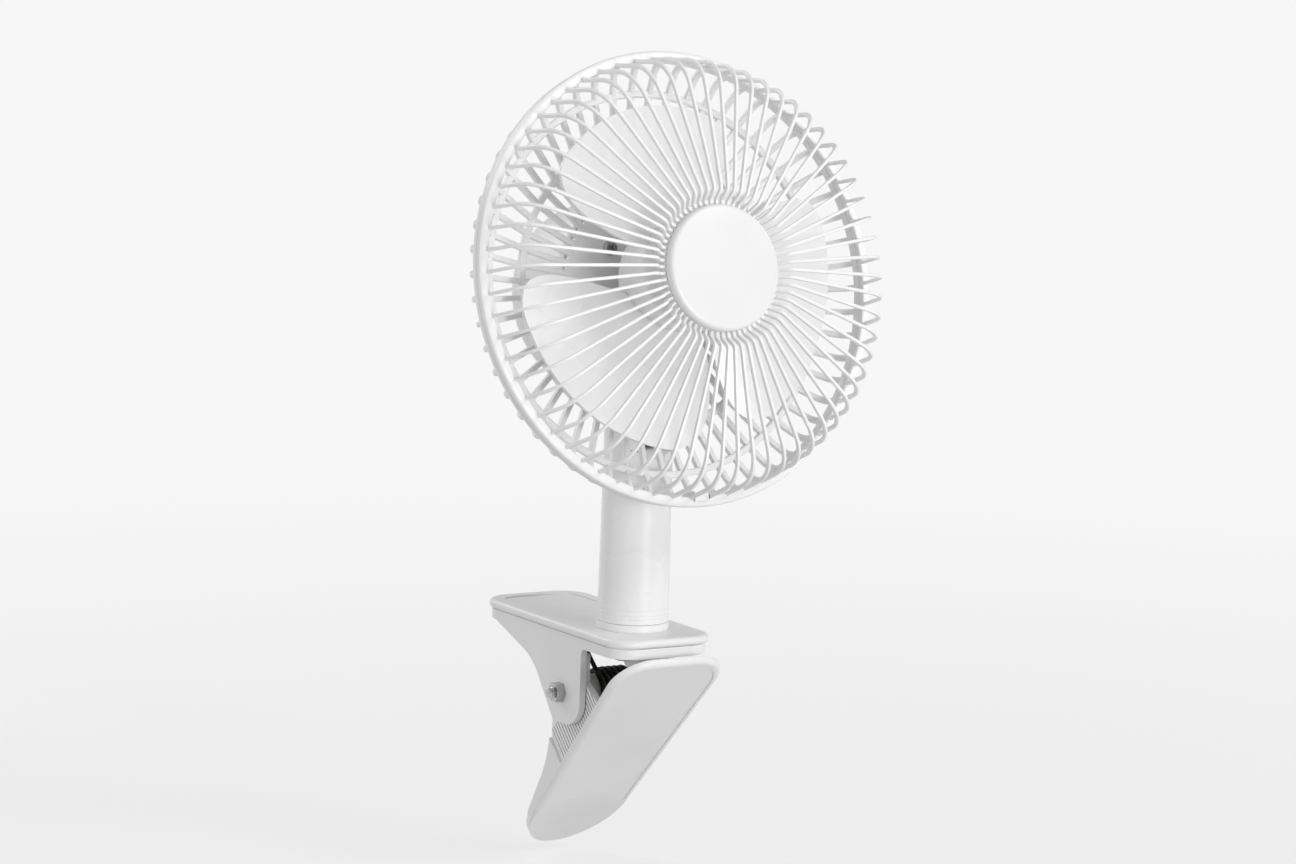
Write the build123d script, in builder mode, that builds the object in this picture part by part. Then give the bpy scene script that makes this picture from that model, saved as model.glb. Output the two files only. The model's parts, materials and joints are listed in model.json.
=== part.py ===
from build123d import *
from math import cos, pi, radians, sin, tan
import os

# Clip fan: a caged three-blade fan on a short post that stands on a sprung clip.
# Millimetres. +Z is up and the fan faces -Y. The origin is the middle of the upper jaw
# pad's gripping face, so the shelf that the clip holds lies just below Z = 0.

# ---------------------------------------------------------------- driving dimensions

# clearances
running_fit = 0.06            # radial, between a shaft and its hole
side_gap = 0.3                # between faces that slide past each other
seat_gap = 0.05               # radial, between fixed round pieces
merge = 1.0                   # how far joined forms of one piece run into each other

# clip: top plate
plate_width = 51.0
plate_front = -13.0           # Y of the front edge
plate_length = 123.0
plate_thickness = 4.0
plate_edge = 1.9              # bullnose radius
plate_corner = 12.0           # front corners seen from above
plate_tail = 14.0             # rear corners
dish_margin = 7.0
dish_depth = 0.6
collar_radius = 15.9
collar_height = 3.4
collar_round = 0.6

# clip: upper jaw
jaw_inset = 1.2               # from the plate's edge to the jaw's wall
jaw_depth = 4.5               # band below the plate
jaw_wall = 3.0
roof_thickness = 2.5
jaw_corner = 3.0              # rounding between the band and the cheeks
pad_thickness = 3.5
pad_length = 10.0
pad_margin = 2.3              # between the pad and the jaw's side walls
pad_corner = 3.8
pad_groove_pitch = 2.5
pad_groove_depth = 0.6

# clip: pivot
pivot_y = 36.5
pivot_z = -20.7
lobe_front = 16.4             # from the pivot to the cheek's front edge
lobe_drop = 13.6              # from the pivot to the cheek's lowest point
lobe_rear = 6.0               # from the pivot to the heel of the cheek
lobe_round = 12.0
heel_round = 2.0
knee_rear = 25.5              # behind and above the pivot, where the cheek's edge turns
knee_rise = 10.8
knee_round = 30.0
bolt_radius = 2.5
bolt_head_radius = 4.6
bolt_head_height = 3.0
nut_across_flats = 8.0
nut_height = 4.0
bolt_end_length = 2.6

# clip: spring
wire_radius = 1.1
coil_radius = 8.6             # to the middle of the wire
coil_turns = 5
coil_pitch = 3.1
coil_clearance = 0.6          # from the coils to the bush inside them
leg_angle = 40.0              # between a leg and the wall that it presses
leg_bend = 6.0
leg_foot = 12.0               # length of the leg's end along the wall

# clip: lever
lever_lean = 44.0             # degrees from the vertical
lever_reach = 27.0            # from the pivot to the outer face
lever_overhang = 2.7          # of the gripping edge past the plate's sides
lever_top = 56.2              # from the pivot up to the gripping edge
lever_bottom = 88.3           # from the pivot down to the thumb end
lever_wall = 3.0
lever_corner = 16.0
lever_edge = 2.6              # rounding of the outer edge
lever_border = 3.4            # raised border round the face
face_sink = 0.4
thumb_inset = 4.4             # from there to where the sides turn in to the thumb end
thumb_round = 50.0            # from the pivot down to there
flank_overhang = 1.3          # of the flanks past the cheeks
flank_start = 25.0            # where the flanks step out from the cheeks
flank_step = 2.0              # thickness of that step
flank_rise = 19.6             # from the outer face to the flank's edge at its start
flank_bow = 31.2              # the edge falls quickly to here and then evenly
flank_bow_rise = 15.6
flank_bend = 41.9
flank_bend_rise = 11.4
flank_end = 75.0
flank_end_rise = 3.4
thumb_start = 41.3
thumb_angle = 5.1
thumb_hollow = 290.0          # radius of the hollow across the thumb end
lever_pad_thickness = 3.0
lever_pad_length = 10.0
lever_pad_inset = 8.2         # from the gripping edge to the pad
cheek_wall = 3.0
cheek_start = 19.1            # from the pivot to the cheek's front end at the shell
cheek_end = 25.0
cheek_front = 14.0            # upright front edge, ahead of the pivot
cheek_waist = 7.0             # heights of that edge above the pivot
cheek_top = 19.0
cheek_boss = 10.5
cheek_heel = 17.0
cheek_round = 8.0
cheek_nick = 1.0
cheek_groove_count = 20
cheek_groove_pitch = 2.0
cheek_groove_depth = 0.5
groove_length = 19.0

# post and tilt joint
post_y = 17.5
post_foot_radius = 15.6
post_top_radius = 15.1
post_wall = 2.6
post_floor = 3.0
spigot_radius = 7.0
swivel_play = 0.1
swivel_washer_radius = 9.4
swivel_washer_thickness = 1.2
swivel_screw_radius = 2.0
swivel_screw_length = 10.0
screw_head_radius = 3.8
screw_head_height = 1.8
tilt_axis_z = 102.0
tilt_rest = 13.0              # degrees that the head faces up at rest
ear_radius = 12.0
ear_outside = 11.5            # from the middle to the seat of the bolt's head
tongue_inset = 0.6            # of the tongue's round end inside the ears'
tongue_gap = 1.1              # from the tongue to the back of the guard
tongue_thickness = 12.0
tilt_washer_thickness = 1.0
tilt_washer_radius = 9.0
tilt_bolt_radius = 2.5
shoulder_round = 6.5          # of the post's top, beside the ears

# front guard
rim_radius = 98.0
rim_width = 4.4
front_rim_height = 3.2
rim_chamfer = 1.2
rib_count = 64
rib_width = 1.4
rib_depth = 2.0
rib_lean = 10.0               # degrees that the cage wall leans inwards
shoulder_radius = 16.0
crest_reach = 4.0             # of the crest past the dip
crest_height = 38.0
crown_slope = 0.19            # rise of a rib for each mm towards the middle
crest_round = 2.5
dip_reach = 2.6               # of a rib's dip past the cap
boss_disc_height = 32.4
boss_disc_thickness = 2.0

# cap
cap_radius = 26.9
cap_front = 39.3
cap_wall = 1.8
cap_edge = 1.5
cap_peg_count = 3
cap_peg_circle = 18.0
cap_peg_radius = 1.6

# rear guard
rim_step = 0.4                # of the rear rim inside the front one
rear_rim_height = 4.5
bar_count = 56
bar_width = 2.4
bar_depth = 2.8
bar_inset = 2.0               # from the rear rim's outside to the middle of a bar
wall_depth = 10.5             # depth of the side wall before the lattice turns in
wall_draft = 0.6
wall_round = 9.0
seam_height = 0.6             # groove between the two rims
seam_depth = 1.4
ring_width = 3.0
outer_ring_inset = 13.1       # from the middle of the bars at the rim to this ring
outer_ring_depth = 17.5
inner_ring_radius = 62.3
inner_ring_depth = 25.0
motor_plate_inset = 2.0       # inside the motor's outline
motor_plate_depth = 25.5
motor_plate_thickness = 3.0
motor_plate_bore = 13.0
guard_screw_circle = 24.0
guard_screw_count = 4
screw_radius = 1.5
screw_boss_radius = 3.2
guard_screw_length = 8.0

# rim catch
latch_width = 6.8
latch_thickness = 2.2
latch_lip = 2.2
latch_lip_thickness = 1.2
latch_slot_width = 1.4

# blades
blade_count = 3
blade_radius = 75.0
blade_thickness = 1.8
blade_first_angle = 106.0
blade_low = -9.0              # height at the leading side
blade_high = 14.0             # height at the trailing side
blade_sag = 2.0
blade_spread = 52.0           # degrees from the blade's middle to its heights above
blade_margin = 2.0            # of the blank past the blade's tip
hub_radius = 24.0
hub_front = 12.0
hub_rear = -9.0
hub_wall = 2.0
hub_edge = 3.0
shaft_radius = 3.0
shaft_boss_radius = 6.5

# motor
housing_radius = 42.0
housing_wall = 2.4
housing_joint = 60.0          # depth of the seam between the shells
housing_rear = 80.0
housing_front_edge = 3.0
housing_round = 14.0
nose_radius = 12.0
nose_height = 6.0
bearing_radius = 6.0
bearing_length = 8.0
stator_gap = 3.1              # between the core and the shell
stator_yoke = 6.5             # width of the core's ring
winding_depth = 9.5           # from the ring's inside to the faces of the poles
stator_front = 38.0
stator_length = 16.0
pole_count = 4
pole_width = 12.0
shoe_thickness = 1.8
shoe_width = 24.0
coil_build = 4.2
coil_start = 0.5              # from a shoe to its coil
coil_room = 2.1               # from a coil to the ring
rotor_gap = 0.5
mount_post_radius = 3.5
bridge_thickness = 2.0
bridge_arm = 8.0
bridge_boss = 9.0
bridge_rear = 64.0
vent_count = 20
vent_span = 280.0
vent_width = 2.2
vent_start = 5.0              # from the knob's edge
vent_margin = 2.0             # to where the shell's edge begins to round
switch_width = 20.0
switch_length = 9.5
knob_radius = 10.0
knob_height = 9.0
knob_taper = 4.0
knob_round = 1.2
mark_length = 5.0             # pointer on the knob
mark_width = 1.2
mark_depth = 0.6
spindle_radius = 2.5
spindle_depth = 5.0
grommet_hole = 4.5
grommet_margin = 1.1          # from its lip to the round edge
grommet_bore = 2.8
grommet_lip = 1.4

# tilt bracket
saddle_width = 30.0
saddle_front = 8.0            # ahead of the tilt axis
saddle_rear = 18.0            # behind the tilt axis
saddle_gap = 0.6              # from the ears to the saddle
saddle_wall = 1.4             # its thinnest, under the motor
bracket_screw_x = 10.5
bracket_screw_back = 14.0
bracket_screw_reach = 4.1     # of the bracket's screws into the motor shell

# ---------------------------------------------------------------- derived frames

plate_bottom_z = pad_thickness + roof_thickness
plate_top_z = plate_bottom_z + plate_thickness
jaw_bottom_z = plate_bottom_z - jaw_depth
jaw_half = plate_width / 2 - jaw_inset
pad_width = 2 * (jaw_half - jaw_wall - pad_margin)
plate_rear = plate_front + plate_length
cheek_inner = jaw_half - jaw_wall - side_gap - cheek_wall
bush_half = cheek_inner - side_gap

tongue_radius = ear_radius - tongue_inset
# from the tilt axis forward and up to the middle of the rim
axis_setback = motor_plate_depth + motor_plate_thickness + tongue_gap + tongue_radius
axis_drop = housing_radius + saddle_wall + saddle_gap + ear_radius

forward = Vector(0, -cos(radians(tilt_rest)), sin(radians(tilt_rest)))
radial_up = Vector(0, sin(radians(tilt_rest)), cos(radians(tilt_rest)))
tilt_axis = Vector(0, post_y, tilt_axis_z)
head_centre = tilt_axis + forward * axis_setback + radial_up * axis_drop
HEAD = Plane(origin=head_centre, x_dir=(1, 0, 0), z_dir=forward)
HEAD_SECTION = Plane(origin=head_centre, x_dir=radial_up, z_dir=(1, 0, 0))
HEAD_AXIS = Axis(head_centre, forward)
TILT_SIDE = Plane(origin=tilt_axis, x_dir=-forward, z_dir=(1, 0, 0))
BRACKET = Plane(
    origin=tilt_axis - forward * bracket_screw_back, x_dir=(1, 0, 0), z_dir=radial_up
)

rim_inner = rim_radius - rim_width
rib_root = rim_inner + rib_depth / 2               # middle of a rib where it leaves the rim
rear_rim_radius = rim_radius - rim_step
bar_root = rear_rim_radius - bar_inset
outer_ring_radius = bar_root - outer_ring_inset
dip_radius = cap_radius + dip_reach
crest_radius = dip_radius + crest_reach
motor_plate_radius = housing_radius - motor_plate_inset

pivot = Vector(0, pivot_y, pivot_z)
lever_down = Vector(0, sin(radians(lever_lean)), -cos(radians(lever_lean)))
lever_inward = Vector(0, cos(radians(lever_lean)), sin(radians(lever_lean)))
LEVER = Plane(origin=pivot, x_dir=(1, 0, 0), z_dir=lever_inward)
LEVER_SIDE = Plane(origin=pivot, x_dir=lever_down, z_dir=(1, 0, 0))
PIVOT_SIDE = Plane(origin=pivot, x_dir=(0, 1, 0), z_dir=(1, 0, 0))
POST = Plane(origin=(0, post_y, 0))


def polar(radius, angle):
    """Point at a radius and an angle in degrees."""
    return (radius * cos(radians(angle)), radius * sin(radians(angle)))


def save(piece, name):
    """Label a finished piece and write its STEP file."""
    piece.part.label = name
    export_step(piece.part, f"parts/{name}.step")


def ring(plane, outer, inner, height):
    """Round ring on a plane, as a builder of its own."""
    with BuildPart() as piece:
        with BuildSketch(plane):
            Circle(outer)
            Circle(inner, mode=Mode.SUBTRACT)
        extrude(amount=height)
    return piece


os.makedirs("parts", exist_ok=True)

# ---------------------------------------------------------------- clip: top plate


def plate_outline(inset):
    """Outline of the clip seen from above, drawn inset. The rear corners are rounder."""
    with BuildSketch(mode=Mode.PRIVATE) as outline:
        with Locations((0, (plate_front + plate_rear) / 2)):
            Rectangle(plate_width - 2 * inset, plate_length - 2 * inset)
        fillet(outline.vertices().group_by(Axis.Y)[0], plate_corner - inset / 2)
        fillet(outline.vertices().group_by(Axis.Y)[-1], plate_tail - inset)
    return outline.sketch


with BuildPart() as top_plate:
    with BuildSketch(Plane.XY.offset(plate_bottom_z)):
        add(plate_outline(0))
    extrude(amount=plate_thickness)
    bullnose = min(plate_edge, plate_thickness / 2 - seat_gap)
    fillet(top_plate.faces().sort_by(Axis.Z)[-1].outer_wire().edges(), bullnose)
    fillet(top_plate.faces().sort_by(Axis.Z)[0].outer_wire().edges(), bullnose)
    # thumb dish behind the post
    dish_start = post_y + collar_radius + dish_margin
    with BuildSketch(Plane.XY.offset(plate_top_z - dish_depth)):
        add(plate_outline(dish_margin))
        with Locations((0, dish_start - plate_length)):
            Rectangle(2 * plate_width, 2 * plate_length, mode=Mode.SUBTRACT)
    extrude(amount=2 * dish_depth, mode=Mode.SUBTRACT)
    # swivel collar
    with BuildSketch(POST.offset(plate_top_z)):
        Circle(collar_radius)
    extrude(amount=collar_height)
    collar_top = top_plate.faces().filter_by(Plane.XY).sort_by(Axis.Z)[-1]
    fillet(collar_top.edges(), collar_round)
    with BuildSketch(POST.offset(plate_bottom_z)):
        Circle(spigot_radius + running_fit)
    extrude(amount=plate_thickness + collar_height, mode=Mode.SUBTRACT)
save(top_plate, "top_plate")

# ---------------------------------------------------------------- clip: upper jaw

band_bottom = jaw_bottom_z - pivot_z
cheek_rear = plate_rear - plate_tail - pivot_y

with BuildPart() as upper_jaw:
    with BuildSketch(Plane.XY.offset(jaw_bottom_z)):
        add(plate_outline(jaw_inset))
    extrude(amount=jaw_depth)
    with BuildSketch(Plane.XY.offset(jaw_bottom_z)):
        add(plate_outline(jaw_inset + jaw_wall))
    extrude(amount=jaw_depth - roof_thickness, mode=Mode.SUBTRACT)
    # cheeks that carry the pivot bolt
    with BuildSketch(PIVOT_SIDE.offset(-jaw_half)):
        with BuildLine():
            edge = FilletPolyline(
                (cheek_rear, band_bottom),
                (knee_rear, knee_rise),
                (lobe_rear, -lobe_drop),
                (-lobe_front, -lobe_drop),
                (-lobe_front, band_bottom - jaw_corner),
                radius=(knee_round, heel_round, lobe_round),
            )
            corner = RadiusArc((-lobe_front - jaw_corner, band_bottom), edge @ 1, jaw_corner)
            Polyline(
                edge @ 0,
                (cheek_rear, band_bottom + merge),
                (-lobe_front - jaw_corner, band_bottom + merge),
                corner @ 0,
            )
        make_face()
        Circle(bolt_radius + seat_gap, mode=Mode.SUBTRACT)
    extrude(amount=jaw_wall)
    mirror(about=Plane.YZ)
    with BuildSketch(POST.offset(jaw_bottom_z)):
        Circle(spigot_radius + running_fit)
    extrude(amount=jaw_depth, mode=Mode.SUBTRACT)
save(upper_jaw, "upper_jaw")

with BuildPart() as upper_jaw_pad:
    with BuildSketch():
        RectangleRounded(pad_width, pad_length, pad_corner)
    extrude(amount=pad_thickness)
    with BuildSketch(Plane.YZ):
        with GridLocations(pad_groove_pitch, 1, 4, 1):
            Rectangle(pad_groove_depth, 2 * pad_groove_depth)
    extrude(amount=pad_width, both=True, mode=Mode.SUBTRACT)
save(upper_jaw_pad, "upper_jaw_pad")

# ---------------------------------------------------------------- clip: pivot


def cross_bolt(plane, seat, shank, head, head_height, tip):
    """Bolt along X: the head sits at +seat and the shank reaches -tip."""
    with BuildPart() as bolt:
        with BuildSketch(plane.offset(-tip)):
            Circle(shank)
        extrude(amount=tip + seat)
        chamfer(bolt.faces().sort_by(Axis.X)[0].edges(), shank / 5)
        with BuildSketch(plane.offset(seat)):
            Circle(head)
        extrude(amount=head_height)
        fillet(bolt.faces().sort_by(Axis.X)[-1].edges(), head_height / 2)
    return bolt


def hex_nut(plane, height, bore):
    """Hex nut from a plane along its normal, with its corners chamfered."""
    corner = nut_across_flats / 2 / cos(pi / 6)
    with BuildPart() as nut:
        with BuildSketch(plane):
            RegularPolygon(corner, 6)
            Circle(bore, mode=Mode.SUBTRACT)
        extrude(amount=height)
        with BuildSketch(plane):
            Circle(nut_across_flats / 2 - 0.1)
        extrude(amount=2 * height, taper=-30, mode=Mode.INTERSECT)
        with BuildSketch(plane.offset(height)):
            Circle(nut_across_flats / 2 - 0.1)
        extrude(amount=-2 * height, taper=-30, mode=Mode.INTERSECT)
    return nut


nut_end = jaw_half + nut_height + bolt_end_length
pivot_bolt = cross_bolt(
    PIVOT_SIDE, jaw_half, bolt_radius, bolt_head_radius, bolt_head_height, nut_end
)
save(pivot_bolt, "pivot_bolt")

NUT_SIDE = Plane(origin=pivot, x_dir=(0, 1, 0), z_dir=(-1, 0, 0))
pivot_nut = hex_nut(NUT_SIDE.offset(jaw_half), nut_height, bolt_radius + seat_gap)
save(pivot_nut, "pivot_nut")

bush_radius = coil_radius - wire_radius - coil_clearance
spring_bush = ring(
    PIVOT_SIDE.offset(-bush_half), bush_radius, bolt_radius + seat_gap, 2 * bush_half
)
save(spring_bush, "spring_bush")

# ---------------------------------------------------------------- clip: torsion spring


def biarc(start, start_dir, end, end_dir):
    """Two tangent arcs between two points with the directions given there."""
    chord = end - start
    both = start_dir + end_dir
    along = chord.dot(both)
    spread = 2 * (1 - start_dir.dot(end_dir))
    reach = (-along + (along**2 + spread * chord.dot(chord)) ** 0.5) / spread
    middle = (start + end + (start_dir - end_dir) * reach) * 0.5
    turn = (end - end_dir * reach) - (start + start_dir * reach)
    TangentArc(start, middle, tangent=start_dir)
    TangentArc(middle, end, tangent=turn)


upper_angle = 90 + leg_angle                       # where the upper leg joins the coil
lower_angle = 180 + lever_lean - leg_angle + 360 * coil_turns
coil_climb = (lower_angle - upper_angle) * coil_pitch / 360


def on_coil(angle, first_angle):
    """Point and direction of the wire at an angle round the pivot, in degrees."""
    turn = radians(angle)
    climb = coil_pitch / 360
    across = (angle - first_angle) * climb - coil_climb / 2
    point = pivot + Vector(across, coil_radius * cos(turn), coil_radius * sin(turn))
    slope = Vector(coil_pitch / (2 * pi), -coil_radius * sin(turn), coil_radius * cos(turn))
    return point, slope.normalized()


def leg(root, direction, wall_normal, wall_distance, foot_direction):
    """Corner points of a leg: bend start, bend end and tip, outwards from the coil."""
    room = wall_distance - wire_radius - side_gap / 3
    reach = (room - (root - pivot).dot(wall_normal)) / direction.dot(wall_normal)
    corner = root + direction * reach
    trim = leg_bend * tan(radians(leg_angle / 2))
    bend_start = corner - direction * trim
    bend_end = corner + foot_direction * trim
    return bend_start, bend_end, bend_end + foot_direction * leg_foot


first_point, first_dir = on_coil(upper_angle, upper_angle)
last_point, last_dir = on_coil(lower_angle, upper_angle)
rearward = Vector(0, 1, 0)
roof_distance = plate_bottom_z - roof_thickness - pivot_z
shell_distance = lever_reach - lever_wall
upper_bend, upper_foot, upper_tip = leg(
    first_point, -first_dir, Vector(0, 0, 1), roof_distance, rearward
)
lower_bend, lower_foot, lower_tip = leg(
    last_point, last_dir, -lever_inward, shell_distance, lever_down
)
halves = round((lower_angle - upper_angle) / 180)
half_turn = (lower_angle - upper_angle) / halves

with BuildPart() as torsion_spring:
    with BuildLine() as wire:
        Line(upper_tip, upper_foot)
        biarc(upper_foot, -rearward, upper_bend, first_dir)
        Line(upper_bend, first_point)
        for step in range(halves):
            here = on_coil(upper_angle + step * half_turn, upper_angle)
            there = on_coil(upper_angle + (step + 1) * half_turn, upper_angle)
            biarc(*here, *there)
        Line(last_point, lower_bend)
        biarc(lower_bend, last_dir, lower_foot, lever_down)
        Line(lower_foot, lower_tip)
    with BuildSketch(Plane(origin=upper_tip, z_dir=-rearward)):
        Circle(wire_radius)
    sweep(path=wire.wires()[0])
save(torsion_spring, "torsion_spring")

wire_path = wire.wires()[0]
samples = 600
marks = [wire_path @ (n / samples) for n in range(samples + 1)]
skipped = int(samples * 3 * wire_radius * pi / wire_path.length) + 1
least = min(
    (marks[n] - marks[k]).length
    for n in range(samples + 1)
    for k in range(n + skipped, samples + 1)
)
print(f"torsion_spring: least gap to itself {least - 2 * wire_radius:.2f} mm")

# ---------------------------------------------------------------- clip: lever

lever_half = plate_width / 2 + lever_overhang
flank_outer = cheek_inner + cheek_wall + flank_overhang


def lever_outline(inset):
    """Outline of the lever seen square on: round corners above, half an ellipse below."""
    top_half = lever_half - inset
    low_half = lever_half - thumb_inset - inset
    with BuildSketch(mode=Mode.PRIVATE) as outline:
        Polygon(
            (-top_half, inset - lever_top),
            (top_half, inset - lever_top),
            (low_half, thumb_round),
            (-low_half, thumb_round),
            align=None,
        )
        with Locations((0, thumb_round)):
            Ellipse(low_half, lever_bottom - thumb_round - inset)
        fillet(outline.vertices().group_by(Axis.Y)[0], lever_corner - inset / 2)
    return outline.sketch


def beside_pivot(y, z):
    """Point of the lever's side view that lies y behind and z above the pivot."""
    offset = Vector(0, y, z)
    return offset.dot(lever_down), offset.dot(lever_inward)


thumb_rise = (lever_bottom + lever_wall - thumb_start) * tan(radians(thumb_angle))
face = -lever_reach
shell = lever_wall - lever_reach

with BuildPart() as lever:
    with BuildSketch(LEVER_SIDE):
        with BuildLine():
            Polyline(
                (-lever_top, face),
                (lever_bottom + lever_wall, face),
                (lever_bottom + lever_wall, shell + thumb_rise),
                (thumb_start, shell),
                (-lever_top, shell),
                close=True,
            )
        make_face()
    extrude(amount=lever_half, both=True)
    # flanks that run down to the thumb end, each with a step across to its cheek
    for side in (1, -1):
        with BuildSketch(LEVER_SIDE.offset(side * (flank_outer - cheek_wall))):
            with BuildLine():
                tip = (flank_start, face + flank_rise)
                bow = (flank_bow, face + flank_bow_rise)
                bend = (flank_bend, face + flank_bend_rise)
                ThreePointArc(tip, bow, bend)
                Polyline(
                    bend,
                    (flank_end, face + flank_end_rise),
                    (flank_end, face + merge),
                    (flank_start, face + merge),
                    tip,
                )
            make_face()
        extrude(amount=side * cheek_wall)
        with BuildSketch(LEVER_SIDE.offset(side * cheek_inner)):
            Polygon(
                (flank_start, face + merge),
                (flank_start + flank_step, face + merge),
                (flank_start + flank_step, face + flank_rise - flank_step),
                (flank_start, face + flank_rise),
                align=None,
            )
        extrude(amount=side * (flank_outer - cheek_inner))
    with BuildSketch(LEVER.offset(face)):
        add(lever_outline(0))
    extrude(amount=flank_rise, mode=Mode.INTERSECT)
    fillet(lever.faces().sort_by(Axis(pivot, lever_inward))[0].outer_wire().edges(), lever_edge)
    with BuildSketch(LEVER.offset(face)):
        add(lever_outline(lever_border))
    extrude(amount=face_sink, mode=Mode.SUBTRACT)
    # hollow for the thumb
    thumb_origin = pivot + lever_down * thumb_start - lever_inward * lever_reach
    thumb_dir = lever_down.rotate(Axis.X, thumb_angle)
    with BuildSketch(Plane(origin=thumb_origin, x_dir=(1, 0, 0), z_dir=thumb_dir)):
        reach = 2 * lever_half
        brow = reach**2 / (2 * thumb_hollow)
        with BuildLine():
            ThreePointArc((-reach, brow), (0, 0), (reach, brow))
            Polyline((reach, brow), (reach, reach), (-reach, reach), (-reach, brow))
        make_face()
    extrude(amount=reach, mode=Mode.SUBTRACT)
    # inner cheeks that turn on the pivot bolt, grooved near the shell
    for side in (1, -1):
        with BuildSketch(LEVER_SIDE.offset(side * cheek_inner)):
            with BuildLine():
                rim = FilletPolyline(
                    (-cheek_start, shell - merge),
                    beside_pivot(-cheek_front, cheek_waist),
                    beside_pivot(-cheek_front, cheek_top),
                    beside_pivot(0, cheek_top),
                    (cheek_heel, 0),
                    (cheek_end, face + flank_rise),
                    (cheek_end, shell - merge),
                    radius=(cheek_nick, cheek_nick, cheek_round, cheek_round, cheek_nick),
                )
                Line(rim @ 1, rim @ 0)
            make_face()
            Circle(cheek_boss)
        extrude(amount=side * cheek_wall)
        with BuildSketch(LEVER_SIDE.offset(side * (cheek_inner + cheek_wall))):
            with Locations(((cheek_end - cheek_start) / 2, shell + groove_length / 2)):
                with GridLocations(cheek_groove_pitch, 1, cheek_groove_count, 1):
                    Rectangle(cheek_groove_depth, groove_length)
        extrude(amount=-side * cheek_groove_depth, mode=Mode.SUBTRACT)
    with BuildSketch(LEVER_SIDE):
        Circle(bolt_radius + running_fit)
    extrude(amount=lever_half, both=True, mode=Mode.SUBTRACT)
save(lever, "lever")

with BuildPart() as lever_pad:
    with BuildSketch(LEVER.offset(shell)):
        with Locations((0, lever_pad_length / 2 + lever_pad_inset - lever_top)):
            RectangleRounded(pad_width, lever_pad_length, pad_corner)
    extrude(amount=lever_pad_thickness)
save(lever_pad, "lever_pad")

# ---------------------------------------------------------------- post

post_foot_z = plate_top_z + collar_height + swivel_play
fork_z = tilt_axis_z - ear_radius
ear_inner = tongue_thickness / 2 + tilt_washer_thickness + swivel_play
spigot_end_z = plate_bottom_z - roof_thickness - swivel_play
post_cavity_top = fork_z - 2 * post_wall

with BuildPart() as post:
    with BuildSketch(Plane.XZ.offset(-post_y)):
        with BuildLine():
            Polyline(
                (0, spigot_end_z),
                (spigot_radius, spigot_end_z),
                (spigot_radius, post_foot_z),
                (post_foot_radius, post_foot_z),
                (post_top_radius, fork_z),
                (post_top_radius, tilt_axis_z + ear_radius),
                (0, tilt_axis_z + ear_radius),
                close=True,
            )
        make_face()
    revolve(axis=Axis((0, post_y, 0), (0, 0, 1)))
    # cavity
    with BuildSketch(POST.offset(post_foot_z + post_floor)):
        Circle(post_top_radius - post_wall)
    extrude(amount=post_cavity_top - post_foot_z - post_floor, mode=Mode.SUBTRACT)
    # fork: the round column narrows to two ears
    with BuildSketch(Plane.YZ):
        with Locations((post_y, fork_z - shoulder_round)):
            Rectangle(3 * post_top_radius, 4 * ear_radius, align=(Align.CENTER, Align.MIN))
        with Locations((post_y, fork_z)):
            RectangleRounded(
                2 * post_foot_radius, 4 * shoulder_round, shoulder_round,
                align=(Align.CENTER, Align.MAX), mode=Mode.SUBTRACT,
            )
            Rectangle(
                2 * ear_radius, ear_radius, align=(Align.CENTER, Align.MIN), mode=Mode.SUBTRACT
            )
        with Locations((post_y, tilt_axis_z)):
            Circle(ear_radius, mode=Mode.SUBTRACT)
    extrude(amount=post_top_radius, both=True, mode=Mode.SUBTRACT)
    with BuildSketch(Plane.XZ.offset(-post_y)):
        with Locations((0, fork_z)):
            Rectangle(2 * ear_inner, 3 * ear_radius, align=(Align.CENTER, Align.MIN))
    extrude(amount=post_foot_radius, both=True, mode=Mode.SUBTRACT)
    with BuildSketch(TILT_SIDE):
        Circle(tilt_bolt_radius + seat_gap)
    extrude(amount=post_foot_radius, both=True, mode=Mode.SUBTRACT)
    seat_radius = bolt_head_radius + 2 * side_gap
    for side in (1, -1):
        with BuildSketch(TILT_SIDE.offset(side * ear_outside)):
            Circle(seat_radius)
        extrude(amount=side * post_foot_radius, mode=Mode.SUBTRACT)
    with BuildSketch(POST.offset(spigot_end_z)):
        Circle(swivel_screw_radius + seat_gap)
    extrude(amount=swivel_screw_length + side_gap, mode=Mode.SUBTRACT)
save(post, "post")

swivel_washer = ring(
    POST.offset(spigot_end_z - swivel_washer_thickness),
    swivel_washer_radius, swivel_screw_radius + seat_gap, swivel_washer_thickness,
)
save(swivel_washer, "swivel_washer")


def screw(plane, shank, head, head_height, length):
    """Pan-head screw: the head stands on the plane and the shank runs against its normal."""
    with BuildPart() as piece:
        with BuildSketch(plane):
            Circle(head)
        extrude(amount=head_height)
        chamfer(piece.faces().sort_by(Axis(plane.origin, plane.z_dir))[-1].edges(), head_height / 3)
        with BuildSketch(plane):
            Circle(shank)
        extrude(amount=-length)
    return piece


swivel_seat = Plane(origin=(0, post_y, spigot_end_z - swivel_washer_thickness), z_dir=(0, 0, -1))
swivel_screw = screw(
    swivel_seat, swivel_screw_radius, screw_head_radius, screw_head_height, swivel_screw_length
)
save(swivel_screw, "swivel_screw")

# ---------------------------------------------------------------- tilt joint

tilt_end = ear_outside + nut_height + bolt_end_length / 2
tilt_bolt = cross_bolt(
    TILT_SIDE, ear_outside, tilt_bolt_radius, bolt_head_radius, bolt_head_height, tilt_end
)
save(tilt_bolt, "tilt_bolt")

TILT_NUT = Plane(origin=tilt_axis, x_dir=(0, 1, 0), z_dir=(-1, 0, 0))
tilt_nut = hex_nut(TILT_NUT.offset(ear_outside), nut_height, tilt_bolt_radius + seat_gap)
save(tilt_nut, "tilt_nut")

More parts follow.
